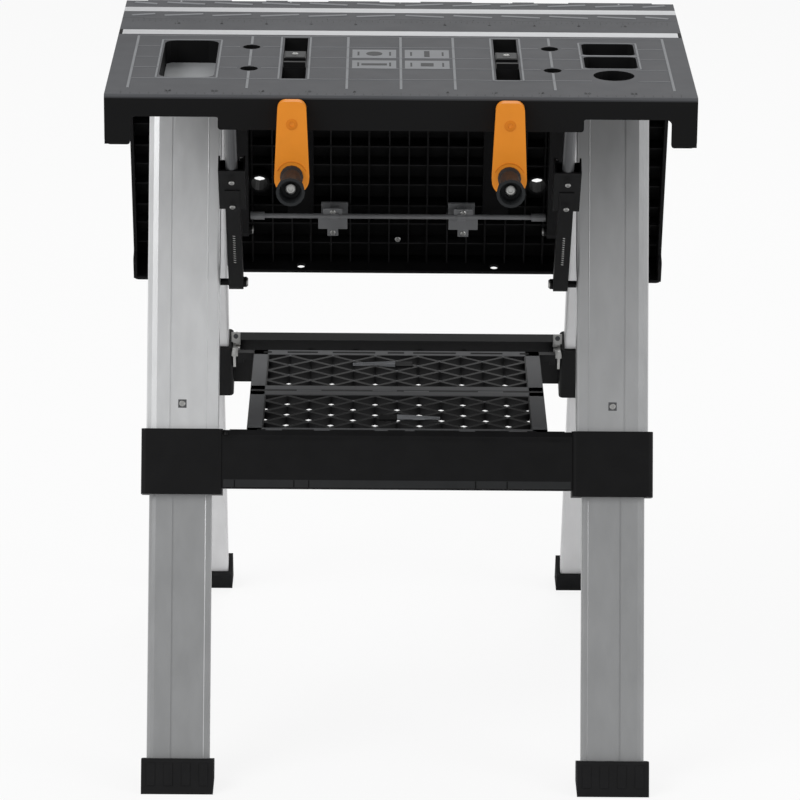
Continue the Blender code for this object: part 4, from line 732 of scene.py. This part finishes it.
def stage():
    white = bpy.data.materials.new("backdrop")
    white.use_nodes = True
    white.node_tree.nodes["Principled BSDF"].inputs["Base Color"].default_value = (0.9, 0.9, 0.9, 1)
    white.node_tree.nodes["Principled BSDF"].inputs["Roughness"].default_value = 0.9
    tree = white.node_tree
    path = tree.nodes.new("ShaderNodeLightPath")
    glow = tree.nodes.new("ShaderNodeEmission")
    glow.inputs["Color"].default_value = (1, 1, 1, 1)
    mix = tree.nodes.new("ShaderNodeMixShader")
    seen = tree.nodes.new("ShaderNodeMath")
    seen.operation = "MULTIPLY"
    seen.inputs[1].default_value = 0.86
    tree.links.new(path.outputs["Is Camera Ray"], seen.inputs[0])
    tree.links.new(seen.outputs["Value"], mix.inputs["Fac"])
    tree.links.new(tree.nodes["Principled BSDF"].outputs["BSDF"], mix.inputs[1])
    tree.links.new(glow.outputs["Emission"], mix.inputs[2])
    tree.links.new(mix.outputs["Shader"], tree.nodes["Material Output"].inputs["Surface"])
    mesh = bpy.data.meshes.new("floor")
    shape = bmesh.new()
    bmesh.ops.create_grid(shape, x_segments=1, y_segments=1, size=6)
    bmesh.ops.translate(shape, verts=shape.verts, vec=(0, 0, -0.0005))
    shape.to_mesh(mesh)
    shape.free()
    mesh.materials.append(white)
    floor = bpy.data.objects.new("floor", mesh)
    bpy.context.scene.collection.objects.link(floor)
    world = bpy.data.worlds.new("studio")
    bpy.context.scene.world = world
    world.use_nodes = True
    nodes = world.node_tree.nodes
    links = world.node_tree.links
    base = nodes["Background"]
    base.inputs["Color"].default_value = (1, 1, 1, 1)
    base.inputs["Strength"].default_value = 0.5
    bright = nodes.new("ShaderNodeBackground")
    bright.inputs["Color"].default_value = (1, 1, 1, 1)
    bright.inputs["Strength"].default_value = 1.0
    path = nodes.new("ShaderNodeLightPath")
    mix = nodes.new("ShaderNodeMixShader")
    links.new(path.outputs["Is Camera Ray"], mix.inputs["Fac"])
    links.new(base.outputs["Background"], mix.inputs[1])
    links.new(bright.outputs["Background"], mix.inputs[2])
    links.new(mix.outputs["Shader"], nodes["World Output"].inputs["Surface"])
    for name, place, size, power in (("key", (-2.6, -1.6, 3.0), 2.0, 60), ("fill", (3.0, -1.2, 1.8), 1.4, 26),
                                     ("back", (0.5, 2.6, 3.0), 2.2, 30)):
        lamp = bpy.data.lights.new(name, "AREA")
        lamp.size = size
        lamp.energy = power
        made = bpy.data.objects.new(name, lamp)
        made.location = place
        made.rotation_euler = (Vector((0, 0, 0.45)) - Vector(place)).to_track_quat("-Z", "Y").to_euler()
        bpy.context.scene.collection.objects.link(made)


# Fitted to the photograph: pitch, yaw and roll in degrees, the focal length in its pixels
CAMERA_ANGLES = (18.46, 0.31, -0.50)
CAMERA_FOCAL = 4366.8
PHOTO_SIZE = 800
SENSOR = 36
CAMERA_PLACE = (-0.0229, -4.919 + SHIFT, 1.999)


def camera():
    pitch, yaw, roll = (math.radians(value) for value in CAMERA_ANGLES)
    ahead = Vector((math.sin(yaw) * math.cos(pitch), math.cos(yaw) * math.cos(pitch), -math.sin(pitch)))
    right = Vector((math.cos(yaw), -math.sin(yaw), 0))
    up = right.cross(ahead)
    right = right * math.cos(roll) - up * math.sin(roll)
    up = right.cross(ahead)
    data = bpy.data.cameras.new("camera")
    data.lens = CAMERA_FOCAL * SENSOR / PHOTO_SIZE
    data.sensor_width = SENSOR
    data.clip_end = 50
    made = bpy.data.objects.new("camera", data)
    made.matrix_world = axes(tuple(right), tuple(up), tuple(-ahead), CAMERA_PLACE)
    bpy.context.scene.collection.objects.link(made)
    bpy.context.scene.camera = made


def main():
    camera()
    dress_nodes()
    for label, body, matrix in (("front", "front_half_top", FRONT), ("rear", "rear_half_top", REAR)):
        fine_ribs(label, body, matrix)
        top_lines(label, body, matrix)
        tray_floors(label, body, matrix)
        strip_ends(label, body, matrix)
        saddle_plates(label, body, matrix)
    rulers("front_half_top", FRONT)
    icons("front_half_top", FRONT)
    herringbone()
    leg_details(-1, "front", LEGS_FRONT, "front_legs")
    leg_details(1, "rear", LEGS_REAR, "rear_legs")
    crossbar_holes(LEGS_REAR, "rear_legs")
    shelf_top(-1, "front", "shelf_front_half")
    shelf_top(1, "rear", "shelf_rear_half")
    shelf_seam()
    shelf_clip("shelf_clip_rear", -0.053, -0.002, 0.1015, 1, "shelf_rear_half")
    shelf_clip("shelf_clip_front", 0.000, 0.050, -0.1000, -1, "shelf_front_half")
    hinge_brackets()
    slot_floors("rear_half_top", REAR)
    strut_details(-1, "front", (-0.108, 0.535), (-0.202, 0.255))
    strut_details(1, "rear", (0.108, 0.535), (-0.0701, 0.2274))
    crank_details()
    stage()
    bpy.context.scene.view_settings.view_transform = "Standard"
    bpy.context.view_layer.update()


main()
